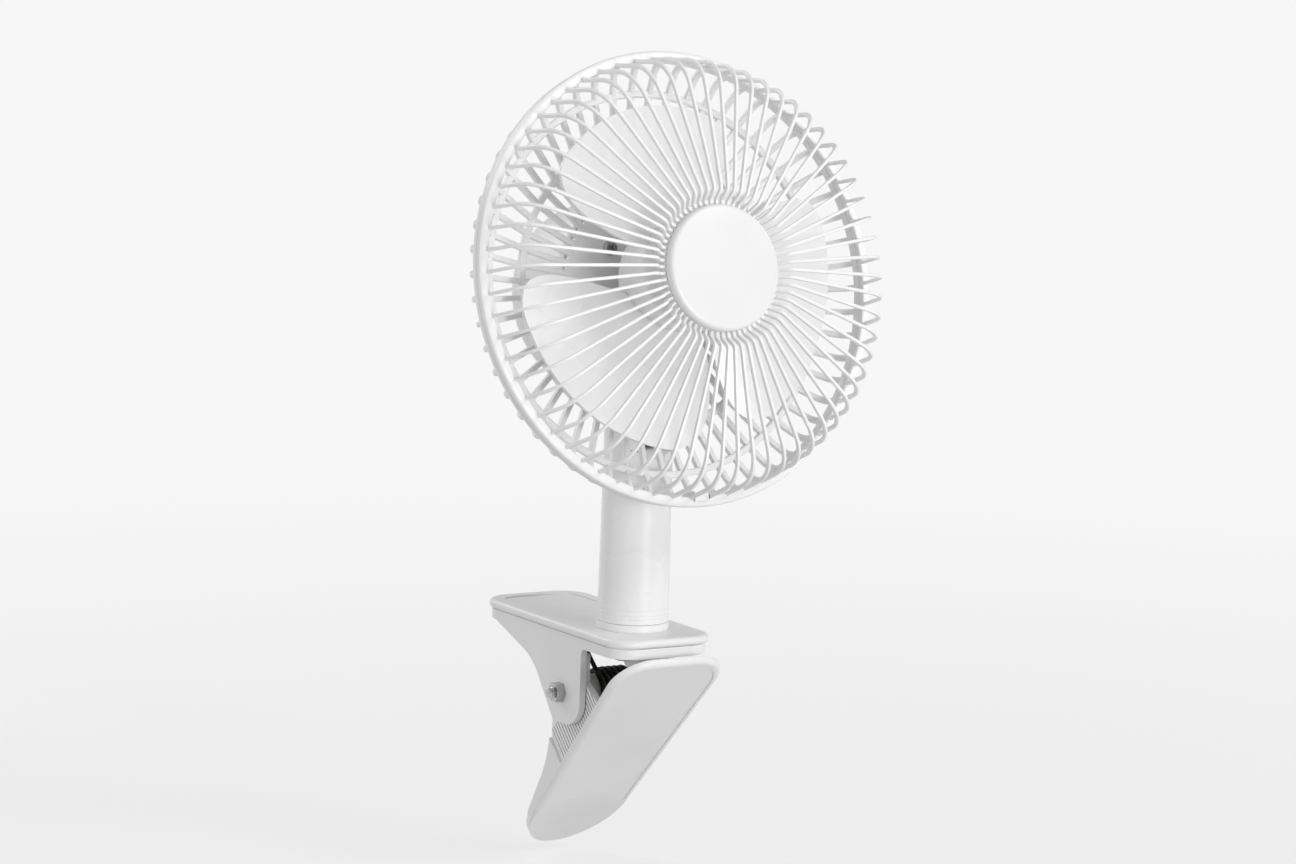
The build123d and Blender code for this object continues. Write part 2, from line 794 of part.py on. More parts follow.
with BuildPart() as tilt_washers:
    for side in (1, -1):
        with BuildSketch(TILT_SIDE.offset(side * (ear_inner - swivel_play / 2))):
            Circle(tilt_washer_radius)
            Circle(tilt_bolt_radius + seat_gap, mode=Mode.SUBTRACT)
        extrude(amount=-side * tilt_washer_thickness)
save(tilt_washers, "tilt_washers")

# ---------------------------------------------------------------- front guard

with BuildPart() as rib:
    with BuildSketch(Plane.XZ):
        with BuildLine():
            lean = tan(radians(rib_lean))
            rim_line = crest_height + crown_slope * (crest_radius - rib_root)
            corner_z = rim_line / (1 - crown_slope * lean)
            dip_z = boss_disc_height + boss_disc_thickness - rib_depth / 2
            FilletPolyline(
                (rib_root - lean * front_rim_height / 2, front_rim_height / 2),
                (rib_root - lean * corner_z, corner_z),
                (crest_radius, crest_height),
                (dip_radius, dip_z),
                radius=(shoulder_radius, crest_round),
            )
            Line((dip_radius, dip_z), (cap_radius - rib_depth, dip_z))
        trace(line_width=rib_depth)
    extrude(amount=rib_width / 2, both=True)

with BuildPart(HEAD) as front_guard:
    with PolarLocations(0, rib_count, start_angle=180 / rib_count):
        add(rib.part)
    with BuildSketch(HEAD_SECTION):
        with BuildLine():
            Polyline(
                (rim_inner, 0),
                (rim_radius, 0),
                (rim_radius, front_rim_height - rim_chamfer),
                (rim_radius - rim_chamfer, front_rim_height),
                (rim_inner, front_rim_height),
                close=True,
            )
        make_face()
        with Locations((0, boss_disc_height)):
            Rectangle(cap_radius, boss_disc_thickness, align=(Align.MIN, Align.MIN))
    revolve(axis=HEAD_AXIS)
    with BuildSketch(HEAD.offset(boss_disc_height)):
        with PolarLocations(cap_peg_circle, cap_peg_count):
            Circle(cap_peg_radius + seat_gap)
    extrude(amount=boss_disc_thickness, mode=Mode.SUBTRACT)
save(front_guard, "front_guard")

cap_seat = boss_disc_height + boss_disc_thickness
with BuildPart() as guard_cap:
    with BuildSketch(HEAD.offset(cap_seat)):
        Circle(cap_radius)
    extrude(amount=cap_front - cap_seat)
    fillet(guard_cap.edges().sort_by(HEAD_AXIS)[-1], cap_edge)
    with BuildSketch(HEAD.offset(cap_seat)):
        Circle(cap_radius - cap_wall)
    extrude(amount=cap_front - cap_seat - cap_wall, mode=Mode.SUBTRACT)
    with BuildSketch(HEAD.offset(boss_disc_height)):
        with PolarLocations(cap_peg_circle, cap_peg_count):
            Circle(cap_peg_radius)
    extrude(amount=cap_front - boss_disc_height - cap_wall / 2)
save(guard_cap, "guard_cap")

# ---------------------------------------------------------------- rear guard

with BuildPart() as bar:
    with BuildSketch(Plane.XZ):
        with BuildLine():
            FilletPolyline(
                (bar_root, -rear_rim_height / 2),
                (bar_root - wall_draft, -wall_depth),
                (outer_ring_radius, -outer_ring_depth),
                radius=wall_round,
            )
            Line((outer_ring_radius, -outer_ring_depth), (inner_ring_radius, -inner_ring_depth))
            Line(
                (inner_ring_radius, -inner_ring_depth),
                (motor_plate_radius - bar_depth, -motor_plate_depth - motor_plate_thickness / 2),
            )
        trace(line_width=bar_depth)
    extrude(amount=bar_width / 2, both=True)

with BuildPart(HEAD) as rear_guard:
    with PolarLocations(0, bar_count, start_angle=180 / bar_count):
        add(bar.part)
    with BuildSketch(HEAD_SECTION):
        with BuildLine():
            Polyline(
                (rim_inner, 0),
                (rear_rim_radius - seam_depth, 0),
                (rear_rim_radius - seam_depth, -seam_height),
                (rear_rim_radius, -seam_height),
                (rear_rim_radius, rim_chamfer - rear_rim_height),
                (rear_rim_radius - rim_chamfer, -rear_rim_height),
                (rim_inner, -rear_rim_height),
                close=True,
            )
        make_face()
        with Locations(
            (outer_ring_radius, -outer_ring_depth), (inner_ring_radius, -inner_ring_depth)
        ):
            Rectangle(ring_width, ring_width)
        with Locations((motor_plate_bore, -motor_plate_depth)):
            Rectangle(
                motor_plate_radius - motor_plate_bore, motor_plate_thickness,
                align=(Align.MIN, Align.MAX),
            )
    revolve(axis=HEAD_AXIS)
    with BuildSketch(HEAD.offset(-motor_plate_depth)):
        with PolarLocations(guard_screw_circle, guard_screw_count, start_angle=45):
            Circle(screw_radius + seat_gap)
    extrude(amount=-motor_plate_thickness, mode=Mode.SUBTRACT)
save(rear_guard, "rear_guard")

# catch that holds the two rims together at the bottom
latch_outer = rim_inner - seat_gap * 2
with BuildPart() as guard_latch:
    with BuildSketch(HEAD_SECTION):
        low = -rear_rim_height - seat_gap
        high = front_rim_height + seat_gap
        with BuildLine():
            Polyline(
                (-latch_outer + latch_thickness, low - latch_lip_thickness),
                (-latch_outer + latch_thickness, high + latch_lip_thickness),
                (-latch_outer - latch_lip, high + latch_lip_thickness),
                (-latch_outer - latch_lip, high),
                (-latch_outer, high),
                (-latch_outer, low),
                (-latch_outer - latch_lip, low),
                (-latch_outer - latch_lip, low - latch_lip_thickness),
                close=True,
            )
        make_face()
    extrude(amount=latch_width / 2, both=True)
    with BuildSketch(Plane(origin=head_centre, x_dir=(1, 0, 0), z_dir=-radial_up)):
        with GridLocations(latch_width / 2, 1, 2, 1):
            Rectangle(latch_slot_width, rear_rim_height)
    extrude(amount=rim_radius, mode=Mode.SUBTRACT)
save(guard_latch, "guard_latch")

with BuildPart(HEAD.offset(-motor_plate_depth)) as guard_screws:
    with PolarLocations(guard_screw_circle, guard_screw_count, start_angle=45):
        add(
            screw(
                Plane.XY, screw_radius, screw_boss_radius, screw_head_height, guard_screw_length
            ).part
        )
save(guard_screws, "guard_screws")

# ---------------------------------------------------------------- blades

with BuildPart() as petal:
    # a twisted, slightly hollow strip, wider than the blade
    inner_x = hub_radius / 3
    outer_x = blade_radius + blade_margin
    middle_z = (blade_low + blade_high) / 2 - blade_sag
    for near in (inner_x, outer_x):
        half = near * tan(radians(blade_spread))
        with BuildSketch(Plane(origin=(near, 0, 0), x_dir=(0, 1, 0), z_dir=(1, 0, 0))):
            with BuildLine():
                upper = blade_thickness / 2
                ThreePointArc(
                    (-half, blade_low + upper), (0, middle_z + upper), (half, blade_high + upper)
                )
                Line((half, blade_high + upper), (half, blade_high - upper))
                ThreePointArc(
                    (half, blade_high - upper), (0, middle_z - upper), (-half, blade_low - upper)
                )
                Line((-half, blade_low - upper), (-half, blade_low + upper))
            make_face()
    loft(ruled=True)
    # outline of the blade seen from the front
    with BuildSketch(Plane.XY.offset(blade_low - hub_radius)):
        with BuildLine():
            tip_low = polar(blade_radius, -36)
            tip_high = polar(blade_radius, 28)
            root_low = polar(hub_radius - hub_wall / 2, -31)
            root_high = polar(hub_radius - hub_wall / 2, 43)
            ThreePointArc(tip_low, polar(blade_radius, -4), tip_high)
            Spline(
                tip_high, polar(blade_radius - 9, 43), polar(hub_radius + 18, 48.6), root_high,
                tangents=((-0.45, 1), (-0.55, -1)),
            )
            ThreePointArc(root_high, polar(hub_radius - hub_wall / 2, 6), root_low)
            Spline(
                root_low, polar(hub_radius + 6, -40), polar(blade_radius - 20, -50),
                polar(blade_radius - 5, -46.5), tip_low,
                tangents=((0.4, -1), (0.75, 1)),
            )
        make_face()
    extrude(amount=3 * hub_radius, mode=Mode.INTERSECT)

with BuildPart(HEAD) as fan_blade:
    with PolarLocations(0, blade_count, start_angle=blade_first_angle):
        add(petal.part)
    with BuildSketch(HEAD.offset(hub_rear)):
        Circle(hub_radius - hub_wall)
    extrude(amount=hub_front - hub_rear + 2 * hub_wall, mode=Mode.SUBTRACT)
    with BuildSketch(HEAD_SECTION):
        with BuildLine():
            cup = FilletPolyline(
                (hub_radius, hub_rear),
                (hub_radius, hub_front),
                (shaft_radius + seat_gap, hub_front),
                radius=hub_edge,
            )
            Polyline(
                cup @ 1,
                (shaft_radius + seat_gap, hub_rear),
                (shaft_boss_radius, hub_rear),
                (shaft_boss_radius, hub_front - hub_wall),
                (hub_radius - hub_wall, hub_front - hub_wall),
                (hub_radius - hub_wall, hub_rear),
                cup @ 0,
            )
        make_face()
    revolve(axis=HEAD_AXIS)
save(fan_blade, "fan_blade")

blade_nut = hex_nut(HEAD.offset(hub_front), nut_height, shaft_radius + seat_gap)
save(blade_nut, "blade_nut")

# ---------------------------------------------------------------- motor shells

front_face = motor_plate_depth + motor_plate_thickness
nose_front = front_face - nose_height
inner_radius = housing_radius - housing_wall
stator_outer = inner_radius - stator_gap
stator_ring = stator_outer - stator_yoke
stator_inner = stator_ring - winding_depth
mount_circle = stator_outer - mount_post_radius
mount_height = stator_front - front_face

with BuildPart() as motor_front_housing:
    with BuildSketch(HEAD_SECTION):
        with BuildLine():
            outside = FilletPolyline(
                (housing_radius, -housing_joint),
                (housing_radius, -front_face),
                (nose_radius, -front_face),
                radius=housing_front_edge,
            )
            Polyline(
                outside @ 1,
                (nose_radius, -nose_front),
                (bearing_radius + seat_gap, -nose_front),
                (bearing_radius + seat_gap, -nose_front - bearing_length),
                (nose_radius, -nose_front - bearing_length),
                (nose_radius, -front_face - housing_wall),
                (inner_radius, -front_face - housing_wall),
                (inner_radius, -housing_joint),
                outside @ 0,
            )
        make_face()
    revolve(axis=HEAD_AXIS)
    # posts for the stator and bosses for the guard's screws
    with BuildSketch(HEAD.offset(-front_face - housing_wall / 2)):
        with PolarLocations(mount_circle, pole_count, start_angle=45):
            Circle(mount_post_radius)
    extrude(amount=-(mount_height - housing_wall / 2))
    with BuildSketch(HEAD.offset(-front_face - housing_wall / 2)):
        with PolarLocations(guard_screw_circle, guard_screw_count, start_angle=45):
            Circle(screw_boss_radius)
    extrude(amount=-(guard_screw_length - housing_wall))
    with BuildSketch(HEAD.offset(-front_face)):
        with PolarLocations(guard_screw_circle, guard_screw_count, start_angle=45):
            Circle(screw_radius + seat_gap)
    extrude(amount=motor_plate_thickness - side_gap - guard_screw_length, mode=Mode.SUBTRACT)
    with BuildSketch(HEAD.offset(-stator_front)):
        with PolarLocations(mount_circle, pole_count, start_angle=45):
            Circle(screw_radius + seat_gap)
    extrude(amount=mount_height - housing_wall, mode=Mode.SUBTRACT)
    # holes for the tilt bracket's screws
    with BuildSketch(BRACKET):
        with GridLocations(2 * bracket_screw_x, 1, 2, 1):
            Circle(screw_radius + seat_gap)
    extrude(amount=2 * axis_drop / 3, mode=Mode.SUBTRACT)
save(motor_front_housing, "motor_front_housing")

REAR = Plane(origin=head_centre - forward * housing_rear, x_dir=(1, 0, 0), z_dir=-forward)


def domed_cup(radius, depth, corner):
    """Solid of the rear shell's form: a short cylinder with a rounded rear edge."""
    with BuildPart() as cup:
        with BuildSketch(HEAD.offset(-housing_joint)):
            Circle(radius)
        extrude(amount=housing_joint - depth)
        fillet(cup.edges().sort_by(HEAD_AXIS)[0], corner)
    return cup


with BuildPart() as rear_cavity:
    add(domed_cup(inner_radius, housing_rear - housing_wall, housing_round - housing_wall))
    # bosses that press the bearing bridge stay solid
    with BuildSketch(HEAD.offset(-bridge_rear)):
        with PolarLocations(mount_circle, pole_count, start_angle=45):
            Circle(mount_post_radius)
    extrude(amount=-housing_rear, mode=Mode.SUBTRACT)

with BuildPart() as motor_rear_housing:
    add(domed_cup(housing_radius, housing_rear, housing_round))
    add(rear_cavity, mode=Mode.SUBTRACT)
    with BuildSketch(HEAD.offset(-bridge_rear)):
        Circle(spindle_radius + running_fit)
    extrude(amount=-housing_rear, mode=Mode.SUBTRACT)
    with BuildSketch(HEAD.offset(-bridge_rear)):
        with PolarLocations(mount_circle, pole_count, start_angle=45):
            Circle(screw_radius + seat_gap)
    extrude(amount=-housing_rear, mode=Mode.SUBTRACT)
    screw_seat = housing_rear - 2 * housing_wall
    with BuildSketch(HEAD.offset(-screw_seat)):
        with PolarLocations(mount_circle, pole_count, start_angle=45):
            Circle(screw_boss_radius)
    extrude(amount=-housing_rear, mode=Mode.SUBTRACT)
    # cooling slots and the cord's hole
    flat_radius = housing_radius - housing_round
    vent_inner = knob_radius + vent_start
    vent_outer = flat_radius - vent_margin
    vent_middle = (vent_inner + vent_outer) / 2
    lip_radius = grommet_hole + grommet_lip
    grommet_drop = max(flat_radius - grommet_margin, knob_radius + side_gap + 2 * lip_radius)
    grommet_drop -= lip_radius
    with BuildSketch(REAR):
        with PolarLocations(
            vent_middle, vent_count, start_angle=270 - vent_span / 2, angular_range=vent_span,
            endpoint=True,
        ):
            SlotOverall(vent_outer - vent_inner, vent_width)
        with Locations((0, grommet_drop)):
            Circle(grommet_hole)
    extrude(amount=-2 * housing_wall, mode=Mode.SUBTRACT)
save(motor_rear_housing, "motor_rear_housing")

housing_screw_length = screw_seat - front_face - 2 * housing_wall
with BuildPart(HEAD.offset(-screw_seat)) as housing_screws:
    with PolarLocations(mount_circle, pole_count, start_angle=45):
        add(
            screw(
                Plane.XY.rotated((180, 0, 0)), screw_radius, screw_boss_radius - side_gap,
                screw_head_height, housing_screw_length,
            ).part
        )
save(housing_screws, "housing_screws")

# ---------------------------------------------------------------- tilt bracket

saddle_flat = ear_radius + saddle_gap
with BuildPart() as tilt_bracket:
    with BuildSketch(TILT_SIDE):
        Circle(tongue_radius)
        Rectangle(2 * tongue_radius, axis_drop / 2, align=(Align.CENTER, Align.MIN))
    extrude(amount=tongue_thickness / 2, both=True)
    with BuildSketch(TILT_SIDE):
        with Locations((-saddle_front, saddle_flat)):
            Rectangle(saddle_front + saddle_rear, axis_drop / 3, align=(Align.MIN, Align.MIN))
    extrude(amount=saddle_width / 2, both=True)
    with BuildSketch(HEAD.offset(-axis_setback - 2 * saddle_rear)):
        Circle(housing_radius + seat_gap)
    extrude(amount=4 * saddle_rear, mode=Mode.SUBTRACT)
    with BuildSketch(HEAD.offset(-axis_setback - 2 * saddle_rear)):
        with Locations((0, -axis_drop)):
            Rectangle(saddle_width, axis_drop)
    extrude(amount=4 * saddle_rear, mode=Mode.INTERSECT)
    with BuildSketch(TILT_SIDE):
        Circle(tilt_bolt_radius + running_fit)
    extrude(amount=tongue_thickness, both=True, mode=Mode.SUBTRACT)
    with BuildSketch(BRACKET):
        with GridLocations(2 * bracket_screw_x, 1, 2, 1):
            Circle(screw_radius + seat_gap)
    extrude(amount=axis_drop, mode=Mode.SUBTRACT)
save(tilt_bracket, "tilt_bracket")

with BuildPart(BRACKET.offset(saddle_flat)) as bracket_screws:
    with GridLocations(2 * bracket_screw_x, 1, 2, 1):
        add(
            screw(
                Plane.XY.rotated((180, 0, 0)), screw_radius, screw_boss_radius - side_gap,
                screw_head_height, saddle_wall + bracket_screw_reach,
            ).part
        )
save(bracket_screws, "bracket_screws")

# ---------------------------------------------------------------- motor inside

with BuildPart() as stator_core:
    with BuildSketch(HEAD.offset(-stator_front)):
        Circle(stator_outer)
        Circle(stator_ring, mode=Mode.SUBTRACT)
        with PolarLocations((stator_inner + stator_ring + merge) / 2, pole_count):
            Rectangle(stator_ring + merge - stator_inner, pole_width)
        with PolarLocations(stator_inner + shoe_thickness / 2, pole_count):
            Rectangle(shoe_thickness, shoe_width)
        Circle(stator_inner, mode=Mode.SUBTRACT)
        with PolarLocations(mount_circle, pole_count, start_angle=45):
            Circle(screw_radius + seat_gap, mode=Mode.SUBTRACT)
    extrude(amount=-stator_length)
save(stator_core, "stator_core")

coil_inner = stator_inner + shoe_thickness + coil_start
coil_half = pole_width / 2 + coil_build + seat_gap
coil_outer = min(stator_ring - coil_room, (stator_ring**2 - coil_half**2) ** 0.5 - seat_gap)

with BuildPart() as stator_coils:
    for pole in range(pole_count):
        outward = HEAD.x_dir.rotate(Axis((0, 0, 0), forward), 360 / pole_count * pole)
        coil_middle = head_centre - forward * (stator_front + stator_length / 2)
        coil_seat = coil_middle + outward * coil_inner
        with BuildSketch(Plane(coil_seat, x_dir=forward.cross(outward), z_dir=outward)):
            RectangleRounded(
                pole_width + 2 * coil_build + 2 * seat_gap,
                stator_length + 2 * coil_build + 2 * seat_gap, coil_build,
            )
            Rectangle(
                pole_width + 2 * seat_gap, stator_length + 2 * seat_gap, mode=Mode.SUBTRACT
            )
        extrude(amount=coil_outer - coil_inner)
save(stator_coils, "stator_coils")

front_bearing = ring(
    HEAD.offset(-nose_front - bearing_length),
    bearing_radius, shaft_radius + running_fit, bearing_length,
)
save(front_bearing, "front_bearing")

stator_rear = stator_front + stator_length
with BuildPart() as bearing_bridge:
    with BuildSketch(HEAD.offset(-bridge_rear)):
        Circle(bridge_boss)
        Rectangle(2 * mount_circle, bridge_arm, rotation=45)
        Rectangle(2 * mount_circle, bridge_arm, rotation=135)
        with PolarLocations(mount_circle, pole_count, start_angle=45):
            Circle(bridge_arm / 2)
    extrude(amount=bridge_thickness)
    with BuildSketch(HEAD.offset(-stator_rear)):
        with PolarLocations(mount_circle, pole_count, start_angle=45):
            Circle(mount_post_radius)
    extrude(amount=-(bridge_rear - stator_rear))
    with BuildSketch(HEAD.offset(-bridge_rear)):
        Circle(bridge_boss)
    extrude(amount=bearing_length)
    with BuildSketch(HEAD.offset(-bridge_rear - bearing_length)):
        Circle(bearing_radius + seat_gap)
        with PolarLocations(mount_circle, pole_count, start_angle=45):
            Circle(screw_radius + seat_gap)
    extrude(amount=2 * bridge_rear, mode=Mode.SUBTRACT)
save(bearing_bridge, "bearing_bridge")

rear_bearing = ring(
    HEAD.offset(-bridge_rear), bearing_radius, shaft_radius + running_fit, bearing_length
)
save(rear_bearing, "rear_bearing")

with BuildPart() as motor_shaft:
    shaft_rear = bridge_rear + side_gap
    with BuildSketch(HEAD.offset(-shaft_rear)):
        Circle(shaft_radius)
    extrude(amount=shaft_rear + hub_front + nut_height + bolt_end_length / 2)
    chamfer(motor_shaft.faces().filter_by(HEAD).edges(), shaft_radius / 6)
save(motor_shaft, "motor_shaft")

rotor_core = ring(
    HEAD.offset(-stator_rear), stator_inner - rotor_gap, shaft_radius + seat_gap, stator_length
)
save(rotor_core, "rotor_core")

# ---------------------------------------------------------------- switch, knob, grommet

wall_inside = housing_rear - housing_wall
with BuildPart() as switch_body:
    with BuildSketch(HEAD.offset(-wall_inside)):
        RectangleRounded(switch_width, switch_width, housing_wall)
    extrude(amount=switch_length)
    with BuildSketch(HEAD.offset(-wall_inside)):
        Circle(spindle_radius + running_fit)
    extrude(amount=spindle_depth + side_gap, mode=Mode.SUBTRACT)
save(switch_body, "switch_body")

with BuildPart() as speed_knob:
    with BuildSketch(REAR.offset(side_gap)):
        Circle(knob_radius)
    extrude(amount=knob_height, taper=knob_taper)
    fillet(speed_knob.faces().sort_by(HEAD_AXIS)[0].edges(), knob_round)
    with BuildSketch(REAR.offset(side_gap + knob_height)):
        with Locations((0, -knob_radius / 2)):
            SlotOverall(mark_length, mark_width, rotation=90)
    extrude(amount=-mark_depth, mode=Mode.SUBTRACT)
    with BuildSketch(REAR.offset(side_gap)):
        Circle(spindle_radius)
    extrude(amount=-(side_gap + housing_wall + spindle_depth))
save(speed_knob, "speed_knob")

GROMMET = Plane(
    origin=REAR.origin - radial_up * grommet_drop, x_dir=(1, 0, 0), z_dir=-forward
)
with BuildPart() as cord_grommet:
    with BuildSketch(GROMMET):
        Circle(lip_radius)
    extrude(amount=grommet_lip)
    fillet(cord_grommet.faces().sort_by(HEAD_AXIS)[0].edges(), grommet_lip / 2)
    with BuildSketch(GROMMET):
        Circle(grommet_hole - seat_gap)
    extrude(amount=-housing_wall)
    with BuildSketch(GROMMET.offset(-housing_wall)):
        Circle(lip_radius)
    extrude(amount=-grommet_lip)
    with BuildSketch(GROMMET.offset(grommet_lip)):
        Circle(grommet_bore)
    extrude(amount=-housing_wall - 2 * grommet_lip, mode=Mode.SUBTRACT)
save(cord_grommet, "cord_grommet")
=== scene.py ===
"""Looks of a small caged clip fan: moulded white plastic, plated fixings and rubber pads."""

import json
import logging
import math
from dataclasses import dataclass
from enum import Enum
from typing import Iterable, Optional

import bmesh
import bpy
from mathutils import Matrix, Vector

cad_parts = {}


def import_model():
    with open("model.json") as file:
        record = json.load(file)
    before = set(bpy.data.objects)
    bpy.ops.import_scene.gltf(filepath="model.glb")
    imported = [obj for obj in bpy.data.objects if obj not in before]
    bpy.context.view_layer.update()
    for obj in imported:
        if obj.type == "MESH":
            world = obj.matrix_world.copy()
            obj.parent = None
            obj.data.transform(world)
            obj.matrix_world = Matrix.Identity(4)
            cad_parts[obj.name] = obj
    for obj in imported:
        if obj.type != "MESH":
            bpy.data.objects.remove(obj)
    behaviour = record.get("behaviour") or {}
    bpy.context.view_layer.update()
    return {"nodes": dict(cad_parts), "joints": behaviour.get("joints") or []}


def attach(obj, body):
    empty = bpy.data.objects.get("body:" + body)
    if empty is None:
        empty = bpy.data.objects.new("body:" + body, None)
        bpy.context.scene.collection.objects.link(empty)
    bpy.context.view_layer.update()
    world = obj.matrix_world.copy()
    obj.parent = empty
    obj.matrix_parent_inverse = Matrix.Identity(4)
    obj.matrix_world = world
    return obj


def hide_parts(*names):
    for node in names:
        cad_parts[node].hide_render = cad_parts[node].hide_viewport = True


LOG = logging.getLogger("clip_fan")
MM = 0.001
Tree = bpy.types.NodeTree
Node = bpy.types.Node
Socket = bpy.types.NodeSocket
BMesh = bmesh.types.BMesh
BMEdge = bmesh.types.BMEdge
BMVert = bmesh.types.BMVert


# ---------------- colour and nodes


def linear(hex_colour: str) -> tuple[float, float, float, float]:
    """Turn an sRGB hex colour into linear RGBA.

    Args:
        hex_colour: six hex digits, such as "F2F2F0".

    Returns:
        The linear red, green, blue and an alpha of 1.
    """
    channels = []
    for start in (0, 2, 4):
        value = int(hex_colour[start:start + 2], 16) / 255
        channels.append(value / 12.92 if value <= 0.04045 else ((value + 0.055) / 1.055) ** 2.4)
    return (channels[0], channels[1], channels[2], 1.0)


def add_node(tree: Tree, kind: str, settings: Optional[dict] = None,
             **inputs: object) -> Node:
    """Add a node with its settings, socket values and links.

    Args:
        tree: the node tree that takes the node.
        kind: the node's type name after "ShaderNode".
        settings: properties of the node, such as operation or noise_dimensions.
        inputs: socket name, with _ for a space, or "i0", "i1" for a place in the list,
            to a value or to an output socket that is linked.

    Returns:
        The new node.
    """
    node = tree.nodes.new("ShaderNode" + kind)
    for name, value in (settings or {}).items():
        setattr(node, name, value)
    for name, value in inputs.items():
        if name[0] == "i" and name[1:].isdigit():
            socket = node.inputs[int(name[1:])]
        else:
            socket = node.inputs[name.replace("_", " ")]
        if isinstance(value, Socket):
            tree.links.new(value, socket)
        else:
            socket.default_value = value
    return node


# ---------------- finishes


@dataclass(frozen=True)
class Finish:
    """A finish: its material's name and the sockets that are the same all over."""

    name: str
    colour: str = "F2F2F0"
    roughness: float = 0.4
    metallic: float = 0.0

    def material(self) -> bpy.types.Material:
        """Return the material, made on its first use."""
        made = bpy.data.materials.get(self.name)
        if made is None:
            made = bpy.data.materials.new(self.name)
            made.use_nodes = True
            made.diffuse_color = linear(self.colour)
            tree = made.node_tree
            shader = tree.nodes["Principled BSDF"]
            shader.inputs["Base Color"].default_value = linear(self.colour)
            shader.inputs["Roughness"].default_value = self.roughness
            shader.inputs["Metallic"].default_value = self.metallic
            place = add_node(tree, "TexCoord").outputs["Object"]
            self.surface(tree, shader, place)
        return made

    def surface(self, tree: Tree, shader: Node, place: Socket) -> None:
        """Add the pattern of the surface; each finish has its own."""
        raise NotImplementedError

    def tint(self, tree: Tree, shader: Node, share: Socket, low: str, high: str) -> None:
        """Mix the base colour from low to high by a pattern's share."""
        mixed = add_node(tree, "MixRGB", i0=share, i1=linear(low), i2=linear(high))
        tree.links.new(mixed.outputs["Color"], shader.inputs["Base Color"])

    def bump(self, tree: Tree, shader: Node, height: Socket, depth_mm: float,
             strength: float = 1.0) -> None:
        """Link a height pattern to the shader's normal.

        Args:
            tree: the material's node tree.
            shader: the Principled shader.
            height: the pattern, from 0 to 1.
            depth_mm: how deep the pattern is.
            strength: how much of it shows.
        """
        relief = add_node(tree, "Bump", Height=height, Distance=depth_mm * MM, Strength=strength)
        tree.links.new(relief.outputs["Normal"], shader.inputs["Normal"])


@dataclass(frozen=True)
class MouldedPlastic(Finish):
    """Injection moulded plastic: a faint flow pattern, orange peel and painted shade in the seams.
    """

    peel_mm: float = 1.6
    peel_depth_mm: float = 0.012
    drift_mm: float = 38.0
    shade: str = "E8E8E8"
    # Painted shade: how far the occlusion looks, the grey it darkens to, and the occlusion over
    # which it fades in.
    shade_reach_mm: float = 2.2
    painted_shade_colour: str = "848484"
    painted_shade_range: tuple[float, float] = (0.15, 0.62)
    rings_z_mm: tuple[float, ...] = ()
    ring_mm: tuple[float, float] = (0.08, 0.26)
    ring_depth_mm: float = 0.11

    def surface(self, tree: Tree, shader: Node, place: Socket) -> None:
        """Slow drift in whiteness and gloss, painted shade in seams and creases, and a fine ripple.
        """
        drift = add_node(tree, "TexNoise", Vector=place, Scale=1 / (self.drift_mm * MM),
                         Detail=2.0)
        tint = add_node(tree, "MixRGB", i0=drift.outputs["Fac"],
                        i1=linear(self.colour), i2=linear(self.shade))
        # Painted shade: ambient occlusion darkens the colour towards a grey in seams, creases and
        # nooks.
        occlusion = add_node(tree, "AmbientOcclusion", {"samples": 8}, Distance=self.shade_reach_mm * MM)
        unshaded_share = add_node(tree, "MapRange", i0=occlusion.outputs["AO"], i1=self.painted_shade_range[0],
                            i2=self.painted_shade_range[1])
        shaded_colour = add_node(tree, "MixRGB", i0=unshaded_share.outputs["Result"],
                          i1=linear(self.painted_shade_colour), i2=tint.outputs["Color"])
        tree.links.new(shaded_colour.outputs["Color"], shader.inputs["Base Color"])
        gloss = add_node(tree, "MapRange", i0=drift.outputs["Fac"], i1=0.3, i2=0.7,
                         i3=self.roughness - 0.03, i4=self.roughness + 0.05)
        tree.links.new(gloss.outputs["Result"], shader.inputs["Roughness"])
        peel = add_node(tree, "TexNoise", Vector=place, Scale=1 / (self.peel_mm * MM),
                        Detail=1.0)
        ripple = add_node(tree, "Bump", Height=peel.outputs["Fac"], Strength=0.5,
                          Distance=self.peel_depth_mm * MM)
        relief = ripple
        if self.rings_z_mm:
            relief = self.rings(tree, place, ripple)
        tree.links.new(relief.outputs["Normal"], shader.inputs["Normal"])
        shader.inputs["IOR"].default_value = 1.49

    def rings(self, tree: Tree, place: Socket, below: Node) -> Node:
        """Add thin turned lines round an upright moulding, at their heights above the pad.

        Args:
            tree: the material's node tree.
            place: object coordinates.
            below: the node whose normal the lines are laid on.

        Returns:
            The bump node with the lines.
        """
        height = add_node(tree, "SeparateXYZ", Vector=place).outputs["Z"]
        lines = None
        for level in self.rings_z_mm:
            away = add_node(tree, "Math", {"operation": "SUBTRACT"}, i0=height, i1=level * MM)
            depth = add_node(tree, "Math", {"operation": "ABSOLUTE"}, i0=away.outputs[0])
            line = add_node(tree, "MapRange", i0=depth.outputs[0], i1=self.ring_mm[0] * MM,
                            i2=self.ring_mm[1] * MM)
            lines = line.outputs["Result"] if lines is None else add_node(
                tree, "Math", {"operation": "MULTIPLY"}, i0=lines,
                i1=line.outputs["Result"]).outputs[0]
        return add_node(tree, "Bump", Height=lines, Strength=0.7,
                        Distance=self.ring_depth_mm * MM, Normal=below.outputs["Normal"])


